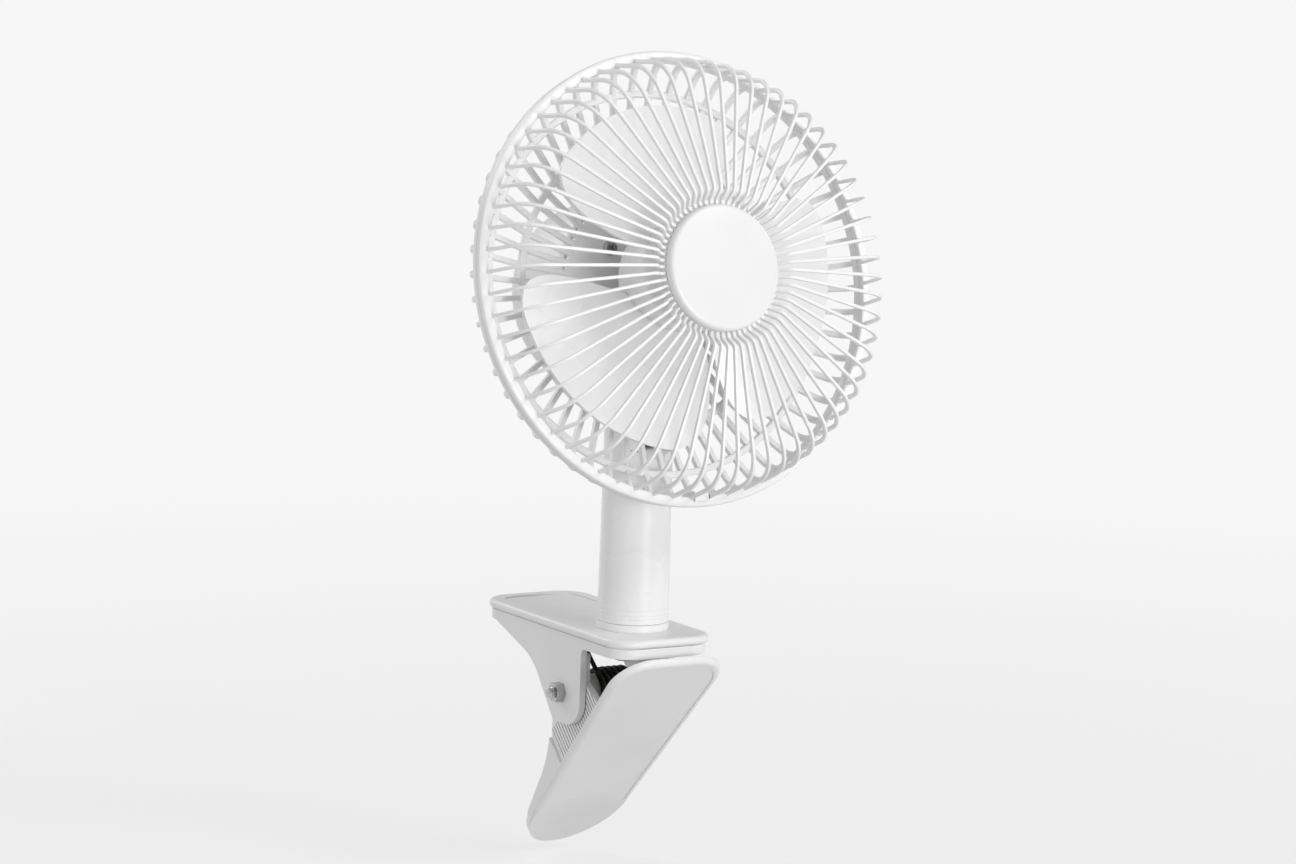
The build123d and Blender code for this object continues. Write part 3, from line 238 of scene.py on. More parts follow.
@dataclass(frozen=True)
class PlatedSteel(Finish):
    """Bright zinc plate: small cloudy patches that change its gloss."""

    patch_mm: float = 1.4
    cloud: str = "A9A7A0"

    def surface(self, tree: Tree, shader: Node, place: Socket) -> None:
        """Cloudy patches and a very fine grain."""
        clouds = add_node(tree, "TexNoise", Vector=place, Scale=1 / (self.patch_mm * MM),
                          Detail=4.0, Roughness=0.6)
        gloss = add_node(tree, "MapRange", i0=clouds.outputs["Fac"], i1=0.35, i2=0.7,
                         i3=self.roughness - 0.08, i4=self.roughness + 0.14)
        tree.links.new(gloss.outputs["Result"], shader.inputs["Roughness"])
        self.tint(tree, shader, clouds.outputs["Fac"], self.colour, self.cloud)
        self.bump(tree, shader, clouds.outputs["Fac"], 0.01, 0.4)


@dataclass(frozen=True)
class OxidisedWire(Finish):
    """Spring steel, black from its heat treatment and rubbed bare in spots."""

    scale_mm: float = 1.1
    bare: str = "4A4B4D"

    def surface(self, tree: Tree, shader: Node, place: Socket) -> None:
        """Grey rubbed spots on black scale."""
        scale = add_node(tree, "TexNoise", Vector=place, Scale=1 / (self.scale_mm * MM),
                         Detail=5.0)
        rubbed = add_node(tree, "MapRange", i0=scale.outputs["Fac"], i1=0.56, i2=0.72)
        self.tint(tree, shader, rubbed.outputs["Result"], self.colour, self.bare)
        self.bump(tree, shader, scale.outputs["Fac"], 0.03, 0.5)


@dataclass(frozen=True)
class MattRubber(Finish):
    """Moulded rubber: matt, with a fine spark-eroded grain and a dusty bloom."""

    grain_mm: float = 0.5
    bloom_mm: float = 9.0
    dust: str = "8E8E8A"

    def surface(self, tree: Tree, shader: Node, place: Socket) -> None:
        """Grain in the bump, bloom in the colour."""
        grain = add_node(tree, "TexNoise", Vector=place, Scale=1 / (self.grain_mm * MM),
                         Detail=3.0)
        bloom = add_node(tree, "TexNoise", Vector=place, Scale=1 / (self.bloom_mm * MM),
                         Detail=3.0)
        dusty = add_node(tree, "MapRange", i0=bloom.outputs["Fac"], i1=0.4, i2=0.8,
                         i3=0.0, i4=0.35)
        self.tint(tree, shader, dusty.outputs["Result"], self.colour, self.dust)
        self.bump(tree, shader, grain.outputs["Fac"], 0.06, 0.7)


@dataclass(frozen=True)
class NaturalNylon(Finish):
    """Unpigmented nylon: milky, waxy and a little translucent."""

    cloud_mm: float = 3.0
    milk: str = "D8D4C4"

    def surface(self, tree: Tree, shader: Node, place: Socket) -> None:
        """Milky depth and cloudy patches."""
        cloud = add_node(tree, "TexNoise", Vector=place, Scale=1 / (self.cloud_mm * MM),
                         Detail=2.0)
        self.tint(tree, shader, cloud.outputs["Fac"], self.colour, self.milk)
        shader.inputs["Subsurface Weight"].default_value = 0.15
        shader.inputs["Subsurface Scale"].default_value = 1.5 * MM
        shader.inputs["IOR"].default_value = 1.53


@dataclass(frozen=True)
class StackedSheet(Finish):
    """Laminated electrical steel: the edges of 0.5 mm sheets, each with a blue-grey scale."""

    axis: tuple[float, float, float] = (0.0, -1.0, 0.0)
    sheet_mm: float = 0.8
    gap: str = "2B2D31"

    def surface(self, tree: Tree, shader: Node, place: Socket) -> None:
        """Lines across the stack, a little coarser than the sheets so that they show."""
        along = add_node(tree, "VectorMath", {"operation": "DOT_PRODUCT"}, i0=place, i1=self.axis)
        count = add_node(tree, "Math", {"operation": "MULTIPLY"}, i0=along.outputs["Value"],
                         i1=1 / (self.sheet_mm * MM))
        edge = add_node(tree, "Math", {"operation": "PINGPONG"}, i0=count.outputs[0], i1=0.5)
        line = add_node(tree, "MapRange", i0=edge.outputs[0], i1=0.0, i2=0.12)
        self.tint(tree, shader, line.outputs["Result"], self.gap, self.colour)
        self.bump(tree, shader, line.outputs["Result"], 0.05)


@dataclass(frozen=True)
class EnamelledWire(Finish):
    """Copper winding under amber enamel: rows of round wire."""

    wire_mm: float = 0.6
    gap: str = "6B2C12"

    def surface(self, tree: Tree, shader: Node, place: Socket) -> None:
        """Shells of wire round the origin, coarser than the real 0.25 mm so that they show."""
        along = add_node(tree, "VectorMath", {"operation": "LENGTH"}, i0=place)
        rows = add_node(tree, "Math", {"operation": "MULTIPLY"}, i0=along.outputs["Value"],
                        i1=2 * math.pi / (self.wire_mm * MM))
        wave = add_node(tree, "Math", {"operation": "SINE"}, i0=rows.outputs[0])
        height = add_node(tree, "MapRange", i0=wave.outputs[0], i1=-1.0, i2=1.0)
        self.tint(tree, shader, height.outputs["Result"], self.gap, self.colour)
        self.bump(tree, shader, height.outputs["Result"], 0.12)


@dataclass(frozen=True)
class GrainedSolid(Finish):
    """Turned steel, sintered bronze or phenolic: one colour broken by a grain."""

    grain_mm: float = 0.4
    dark: str = "303030"
    depth_mm: float = 0.02

    def surface(self, tree: Tree, shader: Node, place: Socket) -> None:
        """Pores or tool marks of the grain's size."""
        grain = add_node(tree, "TexNoise", Vector=place, Scale=1 / (self.grain_mm * MM),
                         Detail=4.0)
        pores = add_node(tree, "MapRange", i0=grain.outputs["Fac"], i1=0.3, i2=0.62)
        self.tint(tree, shader, pores.outputs["Result"], self.dark, self.colour)
        self.bump(tree, shader, grain.outputs["Fac"], self.depth_mm, 0.6)


class Dress(Enum):
    """The finishes of the fan."""

    # Satin moulding: soft wide highlights that a ripple breaks slightly.
    WHITE = MouldedPlastic("satin white polypropylene", "F4F4F4", 0.34)
    # Glossier: a narrower highlight down the column, and turned lines at its foot.
    POST = MouldedPlastic("gloss white polypropylene", "F4F4F4", 0.27,
                          rings_z_mm=(15.6, 17.2, 19.4))
    # The whitest, so that thin ribs stand out before the blades; its painted shade reaches less far
    # into the seams.
    CAGE = MouldedPlastic("cage polypropylene", "FAFAFA", 0.3, peel_mm=1.2, shade="F2F2F2",
                          shade_reach_mm=1.4)
    # Polished mould: the smoothest white, with the sharpest highlight.
    BLADE = MouldedPlastic("polished white styrene", "F7F7F7", 0.24, shade="F0F0F0")
    # Soft pad: grain and a dusty bloom, and no clear highlight.
    PAD = MattRubber("moulded black rubber", "232325", 0.75)
    # Blacker and a little smoother than the pads.
    BLACK_RUBBER = MattRubber("black neoprene", "151515", 0.65)
    # Bright plate: small reflections of the lamps, clouded in patches.
    ZINC = PlatedSteel("bright zinc plated steel", "CBCDD0", 0.24, 1.0)
    # Black scale that shows grey where it is rubbed.
    SPRING = OxidisedWire("black oxide spring wire", "17181A", 0.38, 0.6)
    # Yellower than the white plastic, and light goes a little way in.
    NYLON = NaturalNylon("natural nylon", "E9E6DA", 0.42)
    # Bright, with a fine grain.
    STEEL = GrainedSolid("ground steel", "B4B6B8", 0.3, 1.0, grain_mm=0.5, dark="84868A")
    # Dark lines between the edges of its sheets.
    LAMINATION = StackedSheet("stacked electrical steel", "6D7076", 0.42, 0.9)
    # Orange-brown wire with dark gaps.
    COPPER = EnamelledWire("enamelled copper wire", "C56A34", 0.32, 0.7)
    # Dull gold with dark pores.
    BRONZE = GrainedSolid("sintered bronze", "A98046", 0.48, 1.0, grain_mm=0.35, dark="6C4E26")
    # Brown-black and dull, with a coarse grain.
    PHENOLIC = GrainedSolid("black phenolic moulding", "24221F", 0.5, grain_mm=0.9, dark="15130F")


# Every CAD node by its finish, also those that a finer piece stands for.
WORN_BY: dict[Dress, tuple[str, ...]] = {
    Dress.WHITE: ("top_plate", "upper_jaw", "lever", "guard_cap", "tilt_bracket",
                  "motor_front_housing", "motor_rear_housing", "speed_knob"),
    Dress.POST: ("post",),
    Dress.CAGE: ("front_guard", "rear_guard", "guard_latch"),
    Dress.BLADE: ("fan_blade",),
    Dress.PAD: ("upper_jaw_pad", "lever_pad"),
    Dress.BLACK_RUBBER: ("cord_grommet",),
    Dress.ZINC: ("pivot_bolt", "pivot_nut", "swivel_washer", "swivel_screw", "tilt_bolt",
                 "tilt_nut", "guard_screws", "housing_screws", "bracket_screws"),
    Dress.SPRING: ("torsion_spring",),
    Dress.NYLON: ("spring_bush", "tilt_washers", "blade_nut"),
    Dress.STEEL: ("bearing_bridge", "motor_shaft"),
    Dress.LAMINATION: ("stator_core", "rotor_core"),
    Dress.COPPER: ("stator_coils",),
    Dress.BRONZE: ("front_bearing", "rear_bearing"),
    Dress.PHENOLIC: ("switch_body",),
}


def dress(piece: bpy.types.Object, finish: Dress) -> None:
    """Give every material slot of a piece one finish.

    Args:
        piece: a CAD node's object or a new piece.
        finish: the finish that it takes.
    """
    look = finish.value.material()
    if not piece.material_slots:
        piece.data.materials.append(look)
    for place in piece.material_slots:
        place.material = look


# ---------------- modelling


def new_piece(name: str, shape: BMesh, place: Matrix, body: str, finish: Dress,
              instead_of: tuple[str, ...] = (),
              crease: float = 32.0) -> bpy.types.Object:
    """Turn a shape in millimetres into a finished piece of the fan.

    Args:
        name: the piece's name.
        shape: its mesh, in millimetres in its own frame; it is freed here.
        place: that frame in the object's frame, in metres.
        body: the body that the piece rides on.
        finish: what it is made of.
        instead_of: the CAD nodes that it stands for.
        crease: angle in degrees above which an edge stays crisp.

    Returns:
        The new object.
    """
    bmesh.ops.remove_doubles(shape, verts=shape.verts, dist=1e-4)
    bmesh.ops.recalc_face_normals(shape, faces=shape.faces)
    bmesh.ops.transform(shape, matrix=place @ Matrix.Scale(MM, 4), verts=shape.verts)
    mesh = bpy.data.meshes.new(name)
    shape.to_mesh(mesh)
    shape.free()
    mesh.shade_smooth()
    mesh.set_sharp_from_angle(angle=math.radians(crease))
    piece = bpy.data.objects.new(name, mesh)
    bpy.context.collection.objects.link(piece)
    dress(piece, finish)
    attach(piece, body)
    if instead_of:
        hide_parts(*instead_of)
    LOG.info("%s: %d faces, rides on %s", name, len(mesh.polygons), body)
    return piece


@dataclass
class Sweep:
    """A closed section that runs along straights and arcs, by extruding and spinning."""

    shape: BMesh
    rim: list[BMEdge]
    heading: Vector

    def straight(self, length: float) -> None:
        """Run straight on for a length."""
        made = bmesh.ops.extrude_edge_only(self.shape, edges=self.rim)
        ends = {part for part in made["geom"] if isinstance(part, BMVert)}
        bmesh.ops.translate(self.shape, verts=list(ends), vec=self.heading * length)
        self.rim = [part for part in made["geom"] if isinstance(part, BMEdge)
                    and part.verts[0] in ends and part.verts[1] in ends]

    def turn(self, centre: Vector, axis: Vector, angle: float, steps: int,
             climb: float = 0.0) -> None:
        """Run round an axis.

        Args:
            centre: a point on the axis.
            axis: its direction.
            angle: the turn in radians.
            steps: how many facets it gets.
            climb: how far it moves along the axis meanwhile.
        """
        made = bmesh.ops.spin(self.shape, geom=self.rim, cent=centre, axis=axis, angle=angle,
                              steps=steps, dvec=axis * (climb / steps))
        self.rim = [part for part in made["geom_last"] if isinstance(part, BMEdge)]
        self.heading = Matrix.Rotation(angle, 3, axis) @ self.heading

    def route(self, points: list[Vector], radii: Iterable[float], facet: float = 9.0) -> None:
        """Follow a line of points whose corners are rounded.

        Args:
            points: the points, from where the section stands.
            radii: the rounding at each inner point.
            facet: degrees of turn for each facet.
        """
        here = points[0]
        for corner, after, radius in zip(points[1:-1], points[2:], radii):
            ahead, onward = (corner - here).normalized(), (after - corner).normalized()
            angle = ahead.angle(onward)
            axis = ahead.cross(onward).normalized()
            trim = radius * math.tan(angle / 2)
            self.heading = ahead
            self.straight((corner - here).length - trim)
            begin = corner - ahead * trim
            self.turn(begin + axis.cross(ahead) * radius, axis, angle,
                      max(2, round(math.degrees(angle) / facet)))
            here = corner + onward * trim
            self.heading = onward
        self.straight((points[-1] - here).length)

    def widen(self, factor: float) -> None:
        """Scale the end round Z."""
        ring = {vert for edge in self.rim for vert in edge.verts}
        bmesh.ops.scale(self.shape, verts=list(ring), vec=(factor, factor, 1))

    def close(self) -> None:
        """Cap the end."""
        bmesh.ops.contextual_create(self.shape, geom=self.rim)


def rounded_section(shape: BMesh, wide: float, deep: float, corner: float,
                    place: Matrix) -> list[BMEdge]:
    """Lay a rounded rectangle as the start of a sweep.

    Args:
        shape: the mesh that takes it.
        wide: its size along Y.
        deep: its size along X.
        corner: rounding of its corners.
        place: where it stands.

    Returns:
        Its edges.
    """
    made = bmesh.ops.create_grid(shape, x_segments=1, y_segments=1, size=0.5)
    bmesh.ops.scale(shape, vec=(deep, wide, 1), verts=made["verts"])
    round_off = bmesh.ops.bevel(shape, geom=made["verts"], offset=corner, segments=2,
                                profile=0.5, affect="VERTICES", material=-1)
    face = round_off["faces"][0] if round_off["faces"] else shape.faces[:][-1]
    bmesh.ops.transform(shape, matrix=place, verts=face.verts)
    return list(face.edges)


def lathe(shape: BMesh, outline: Iterable[tuple[float, float]], steps: int = 96,
          closed: bool = True) -> None:
    """Turn an outline of (radius, height) points round Z.

    Args:
        shape: the mesh that takes the turned form.
        outline: its points in order.
        steps: facets round.
        closed: joins the last point to the first.
    """
    corners = [shape.verts.new((radius, 0, height)) for radius, height in outline]
    pairs = list(zip(corners, corners[1:]))
    if closed:
        pairs.append((corners[-1], corners[0]))
    edges = [shape.edges.new(pair) for pair in pairs]
    bmesh.ops.spin(shape, geom=corners + edges, cent=(0, 0, 0), axis=(0, 0, 1),
                   angle=2 * math.pi, steps=steps, use_merge=True)


def repeat(shape: BMesh, count: int) -> None:
    """Copy all of a shape evenly round Z."""
    everything = shape.verts[:] + shape.edges[:] + shape.faces[:]
    bmesh.ops.spin(shape, geom=everything, cent=(0, 0, 0), axis=(0, 0, 1),
                   angle=2 * math.pi * (count - 1) / count, steps=count - 1, use_duplicate=True)


def joint_at(frame: dict, name: str) -> Matrix:
    """Upright frame at a joint's place."""
    return Matrix.Translation(next(j["pos_m"] for j in frame["joints"] if j["name"] == name))


def joint_frame(frame: dict, name: str, turned: bool = False) -> Matrix:
    """Frame on a joint: Z along its axis and X across the fan.

    Args:
        frame: the loaded frame.
        name: the joint's name.
        turned: turns Z the other way.

    Returns:
        The frame as a matrix in metres.
    """
    joint = next(j for j in frame["joints"] if j["name"] == name)
    along = Vector(joint["axis"]).normalized() * (-1 if turned else 1)
    across = Vector((1, 0, 0))
    upward = along.cross(across)
    turn = Matrix((across, upward, along)).transposed().to_4x4()
    return joint_at(frame, name) @ turn


# ---------------- cage


@dataclass
class FrontCage:
    """Front guard: 64 round ribs on a rim, gathered under the cap. Sizes in millimetres."""

    place: Matrix
    ribs: int = 64
    rib_wide: float = 1.4
    rib_deep: float = 2.0
    rim_outer: float = 98.0
    rim_inner: float = 93.6
    rim_height: float = 3.2
    root: float = 94.6
    lean: float = 10.0
    crown: tuple[float, float] = (89.785, 27.306)
    crest: tuple[float, float] = (33.5, 38.0)
    dip: tuple[float, float] = (29.5, 33.4)
    bends: tuple[float, float, float] = (16.0, 2.5, 0.9)
    rib_round: float = 0.48
    tail: float = 24.9
    disc: float = 26.9
    disc_low: float = 32.4
    disc_high: float = 34.4

    def rib(self, shape: BMesh) -> None:
        """Model one rib from the rim over the shoulder and the crest into the disc."""
        low = self.rim_height / 2
        first = Vector((self.root - math.tan(math.radians(self.lean)) * low, 0, low))
        stand = Matrix.Translation(first) @ Matrix.Rotation(math.radians(-self.lean), 4, "Y")
        start = rounded_section(shape, self.rib_wide, self.rib_deep, self.rib_round, stand)
        sweep = Sweep(shape, start, Vector((0, 0, 1)))
        route = [first] + [Vector((r, 0, z)) for r, z in (self.crown, self.crest, self.dip)]
        sweep.route(route + [Vector((self.tail, 0, self.dip[1]))], self.bends)
        sweep.close()

    def rim(self, shape: BMesh) -> None:
        """Model the rim, its outer edge well rounded, and the disc under the cap."""
        r, h = self.rim_outer, self.rim_height
        lathe(shape, ((self.rim_inner, 0.2), (self.rim_inner + 0.2, 0), (r - 0.5, 0), (r, 0.5),
                      (r, h - 1.5), (r - 0.35, h - 0.6), (r - 1.1, h - 0.1), (r - 1.9, h),
                      (self.rim_inner + 0.4, h), (self.rim_inner, h - 0.4)), 256)
        d, low, high = self.disc, self.disc_low, self.disc_high
        lathe(shape, ((0, low), (d - 0.4, low), (d, low + 0.4), (d, high - 0.4),
                      (d - 0.4, high), (0, high)), 128, closed=False)

    def build(self) -> None:
        """Make the front cage."""
        shape = bmesh.new()
        self.rib(shape)
        bmesh.ops.rotate(shape, cent=(0, 0, 0), verts=shape.verts,
                         matrix=Matrix.Rotation(math.pi / self.ribs, 3, "Z"))
        repeat(shape, self.ribs)
        self.rim(shape)
        new_piece("front_cage", shape, self.place, "head", Dress.CAGE,
                  ("front_guard",))


@dataclass
class RearCage:
    """Rear guard: 56 flat bars, two rings, the rim and the plate on the motor."""

    place: Matrix
    bars: int = 56
    bar_wide: float = 2.4
    bar_deep: float = 2.8
    rim_outer: float = 97.6
    rim_inner: float = 93.6
    rim_depth: float = 4.5
    seam: tuple[float, float] = (96.2, 0.6)
    root: float = 95.6
    wall: tuple[float, float] = (95.0, -10.5)
    outer_ring: tuple[float, float] = (82.5, -17.5)
    inner_ring: tuple[float, float] = (62.3, -25.0)
    tail: tuple[float, float] = (37.2, -27.0)
    bends: tuple[float, float, float] = (9.0, 4.0, 4.0)
    bar_round: float = 0.5
    ring_size: float = 3.0
    plate: tuple[float, float, float, float] = (13.0, 40.0, -25.5, -28.5)

    def bar(self, shape: BMesh) -> None:
        """Model one bar from the rim round the shoulder and across the rings."""
        first = Vector((self.root, 0, -self.rim_depth / 2))
        start = rounded_section(shape, self.bar_wide, self.bar_deep, self.bar_round,
                                Matrix.Translation(first) @ Matrix.Rotation(math.pi, 4, "Y"))
        sweep = Sweep(shape, start, Vector((0, 0, -1)))
        points = (self.wall, self.outer_ring, self.inner_ring, self.tail)
        sweep.route([first] + [Vector((r, 0, z)) for r, z in points], self.bends)
        sweep.close()

    def ring(self, shape: BMesh, at: tuple[float, float]) -> None:
        """Model one ring of the lattice."""
        (r, z), h, c = at, self.ring_size / 2, 0.45
        lathe(shape, ((r - h, z - h + c), (r - h + c, z - h), (r + h - c, z - h),
                      (r + h, z - h + c), (r + h, z + h - c), (r + h - c, z + h),
                      (r - h + c, z + h), (r - h, z + h - c)), 192)

    def build(self) -> None:
        """Make the rear cage."""
        shape = bmesh.new()
        self.bar(shape)
        bmesh.ops.rotate(shape, cent=(0, 0, 0), verts=shape.verts,
                         matrix=Matrix.Rotation(math.pi / self.bars, 3, "Z"))
        repeat(shape, self.bars)
        self.ring(shape, self.outer_ring)
        self.ring(shape, self.inner_ring)
        r, low = self.rim_outer, -self.rim_depth
        groove, depth = self.seam
        lathe(shape, ((self.rim_inner, 0), (groove, 0), (groove, -depth), (r - 0.4, -depth),
                      (r, -depth - 0.4), (r, low + 1.5), (r - 0.35, low + 0.6),
                      (r - 1.1, low + 0.1), (r - 1.9, low), (self.rim_inner + 0.4, low),
                      (self.rim_inner, low + 0.4)), 256)
        bore, edge, top, bottom = self.plate
        lathe(shape, ((bore, top), (edge - 0.6, top), (edge, top - 0.6), (edge, bottom + 0.6),
                      (edge - 0.6, bottom), (bore, bottom)), 128)
        new_piece("rear_cage", shape, self.place, "head", Dress.CAGE,
                  ("rear_guard",))


@dataclass
class Cap:
    """Plain round cap: a low crown, a rolled edge and a chamfered foot."""

    place: Matrix
    radius: float = 26.9
    front: float = 39.3
    seat: float = 34.4
    wall: float = 1.8

    def build(self) -> None:
        """Make the cap."""
        shape = bmesh.new()
        r, top = self.radius, self.front
        roll = [(r - 1.9 + 1.9 * math.cos(t), top - 0.35 - 1.9 + 1.9 * math.sin(t))
                for t in (math.radians(a) for a in range(0, 91, 15))]
        crown = [(r * k, top - 0.3 * k * k) for k in (0.85, 0.6, 0.3, 0)]
        inside = [(0, top - self.wall), (r - self.wall, top - self.wall),
                  (r - self.wall, self.seat)]
        lathe(shape, [(r - 0.4, self.seat), (r, self.seat + 0.4)] + roll + crown + inside, 160,
              closed=False)
        new_piece("cap_cover", shape, self.place, "head", Dress.WHITE,
                  ("guard_cap",), crease=50)


# ---------------- clip


@dataclass
class Spring:
    """Torsion spring: an open coil round the bush, a leg under the plate, one on the lever."""

    place: Matrix
    wire: float = 1.1
    coil: float = 8.6
    turns: int = 5
    pitch: float = 3.1
    leg_angle: float = 40.0
    lever_lean: float = 44.0
    bend: float = 6.0
    foot: float = 12.0
    roof: float = 24.2
    shell: float = 24.0
    overlap: float = 40.0

    def start(self, shape: BMesh, across: float, angle: float,
              scale: float = 1.0) -> Sweep:
        """Stand the wire's section on the coil.

        Args:
            shape: the mesh that takes it.
            across: its place along the pivot.
            angle: its angle round the pivot in degrees, from the rear upwards.
            scale: of the wire's radius.

        Returns:
            A sweep that heads along the coil.
        """
        made = bmesh.ops.create_circle(shape, cap_ends=True, segments=10,
                                       radius=self.wire * scale)
        turn = math.radians(angle)
        place = (Matrix.Translation((across, 0, 0)) @ Matrix.Rotation(turn, 4, "X")
                 @ Matrix.Translation((0, self.coil, 0)))
        bmesh.ops.transform(shape, matrix=place, verts=made["verts"])
        rim = [edge for edge in shape.edges if edge.verts[0] in made["verts"]]
        return Sweep(shape, rim, Vector((0, -math.sin(turn), math.cos(turn))))

    def leg(self, sweep: Sweep, spot: Vector, wall_normal: Vector, distance: float,
            along: Vector) -> None:
        """Run a leg from the coil to the wall that it presses, and along that wall.

        Args:
            sweep: the wire, heading off the coil.
            spot: the middle of the wire there, seen along the pivot.
            wall_normal: direction from the pivot to the wall.
            distance: from the pivot to the wall.
            along: direction of the leg's end on the wall.
        """
        reach = ((distance - self.wire - 0.1 - spot.dot(wall_normal))
                 / sweep.heading.dot(wall_normal))
        trim = self.bend * math.tan(math.radians(self.leg_angle / 2))
        sweep.straight(reach - trim)
        begin = spot + sweep.heading * (reach - trim)
        axis = sweep.heading.cross(along).normalized()
        sweep.turn(begin + axis.cross(sweep.heading) * self.bend, axis,
                   math.radians(self.leg_angle), 8)
        sweep.straight(self.foot)
        sweep.close()

    def spot(self, angle: float) -> Vector:
        """Middle of the wire at an angle round the pivot."""
        return Vector((0, self.coil * math.cos(math.radians(angle)),
                       self.coil * math.sin(math.radians(angle))))

    def build(self) -> None:
        """Make the coil with its upper leg, and the leg that moves with the lever."""
        upper = 90 + self.leg_angle
        lower = 180 + self.lever_lean - self.leg_angle
        sweep_angle = 360 * self.turns + lower - upper
        climb = self.pitch * sweep_angle / 360
        shape = bmesh.new()
        coil = self.start(shape, -climb / 2, upper)
        first = coil.rim[:]
        coil.turn(Vector((-climb / 2, 0, 0)), Vector((1, 0, 0)), math.radians(sweep_angle),
                  40 * self.turns, climb)
        coil.close()
        other = Sweep(shape, first, Vector((0, math.sin(math.radians(upper)),
                                            -math.cos(math.radians(upper)))))
        self.leg(other, self.spot(upper), Vector((0, 0, 1)), self.roof, Vector((0, 1, 0)))
        new_piece("spring_coil", shape, self.place, "clip", Dress.SPRING,
                  ("torsion_spring",))
        shape = bmesh.new()
        leg = self.start(shape, climb / 2 - self.pitch * self.overlap / 360,
                         lower - self.overlap, 0.97)
        leg.turn(Vector((0, 0, 0)), Vector((1, 0, 0)), math.radians(self.overlap), 6,
                 self.pitch * self.overlap / 360)
        lean = math.radians(self.lever_lean)
        self.leg(leg, self.spot(lower), Vector((0, -math.cos(lean), -math.sin(lean))),
                 self.shell, Vector((0, math.sin(lean), -math.cos(lean))))
        new_piece("spring_leg", shape, self.place, "lever", Dress.SPRING)


@dataclass
class CrossBolt:
    """Cross bolt with a domed head on one side, a threaded end and a hex nut on the other."""

    place: Matrix
    names: tuple[str, str]
    nodes: tuple[str, str]
    body: str
    seat: float
    tip: float
    shank: float = 2.5
    head: float = 4.6
    head_height: float = 3.0
    flats: float = 8.0
    nut: float = 4.0
    thread: float = 0.8

    def bolt(self) -> None:
        """Model the bolt: dome, shank and thread."""
        shape = bmesh.new()
        top = self.seat + self.head_height
        dome = [(self.head * math.sin(t), top - 1.6 + 1.6 * math.cos(t))
                for t in (math.radians(a) for a in range(0, 91, 15))]
        thread = []
        depth = -(self.seat - 1.0)
        while depth - self.thread > self.tip + 0.6:
            thread += [(self.shank, depth), (self.shank, depth - 0.12),
                       (self.shank - 0.42, depth - self.thread / 2),
                       (self.shank - 0.42, depth - self.thread / 2 - 0.1)]
            depth -= self.thread
        end = [(self.shank - 0.1, depth), (self.shank - 0.6, self.tip + 0.15),
               (self.shank - 0.8, self.tip), (0, self.tip)]
        lathe(shape, dome + [(self.head, self.seat), (self.shank, self.seat)] + thread + end,
              40, closed=False)
        new_piece(self.names[0], shape, self.place, self.body, Dress.ZINC,
                  (self.nodes[0],), crease=25)

    def hex_nut(self) -> None:
        """Model the nut: a hexagon whose corners are turned off."""
        shape = bmesh.new()
        made = bmesh.ops.create_circle(shape, cap_ends=True, segments=6,
                                       radius=self.flats / 2 / math.cos(math.pi / 6))
        face = made["verts"][0].link_faces[0]
        bmesh.ops.translate(shape, verts=made["verts"], vec=(0, 0, -self.seat))
        raised = bmesh.ops.extrude_face_region(shape, geom=[face])
        bmesh.ops.translate(shape, vec=(0, 0, -self.nut),
                            verts=[v for v in raised["geom"] if isinstance(v, BMVert)])
        for sign, level in ((1, -self.seat), (-1, -self.seat - self.nut)):
            for step in range(18):
                turn = Matrix.Rotation(math.radians(20 * step), 3, "Z")
                slope = turn @ Vector((math.sin(math.radians(30)), 0,
                                       sign * math.cos(math.radians(30))))
                point = turn @ Vector((self.flats / 2 + 0.12, 0, level))
                cut = bmesh.ops.bisect_plane(shape, geom=shape.verts[:] + shape.edges[:]
                                             + shape.faces[:], plane_co=point, plane_no=slope,
                                             clear_outer=True)
                open_edges = [e for e in cut["geom_cut"] if isinstance(e, BMEdge)]
                if open_edges:
                    bmesh.ops.holes_fill(shape, edges=open_edges)
        new_piece(self.names[1], shape, self.place, self.body, Dress.ZINC,
                  (self.nodes[1],), crease=12)

    def build(self) -> None:
        """Make the bolt and its nut."""
        self.bolt()
        self.hex_nut()


# ---------------- screws and knob


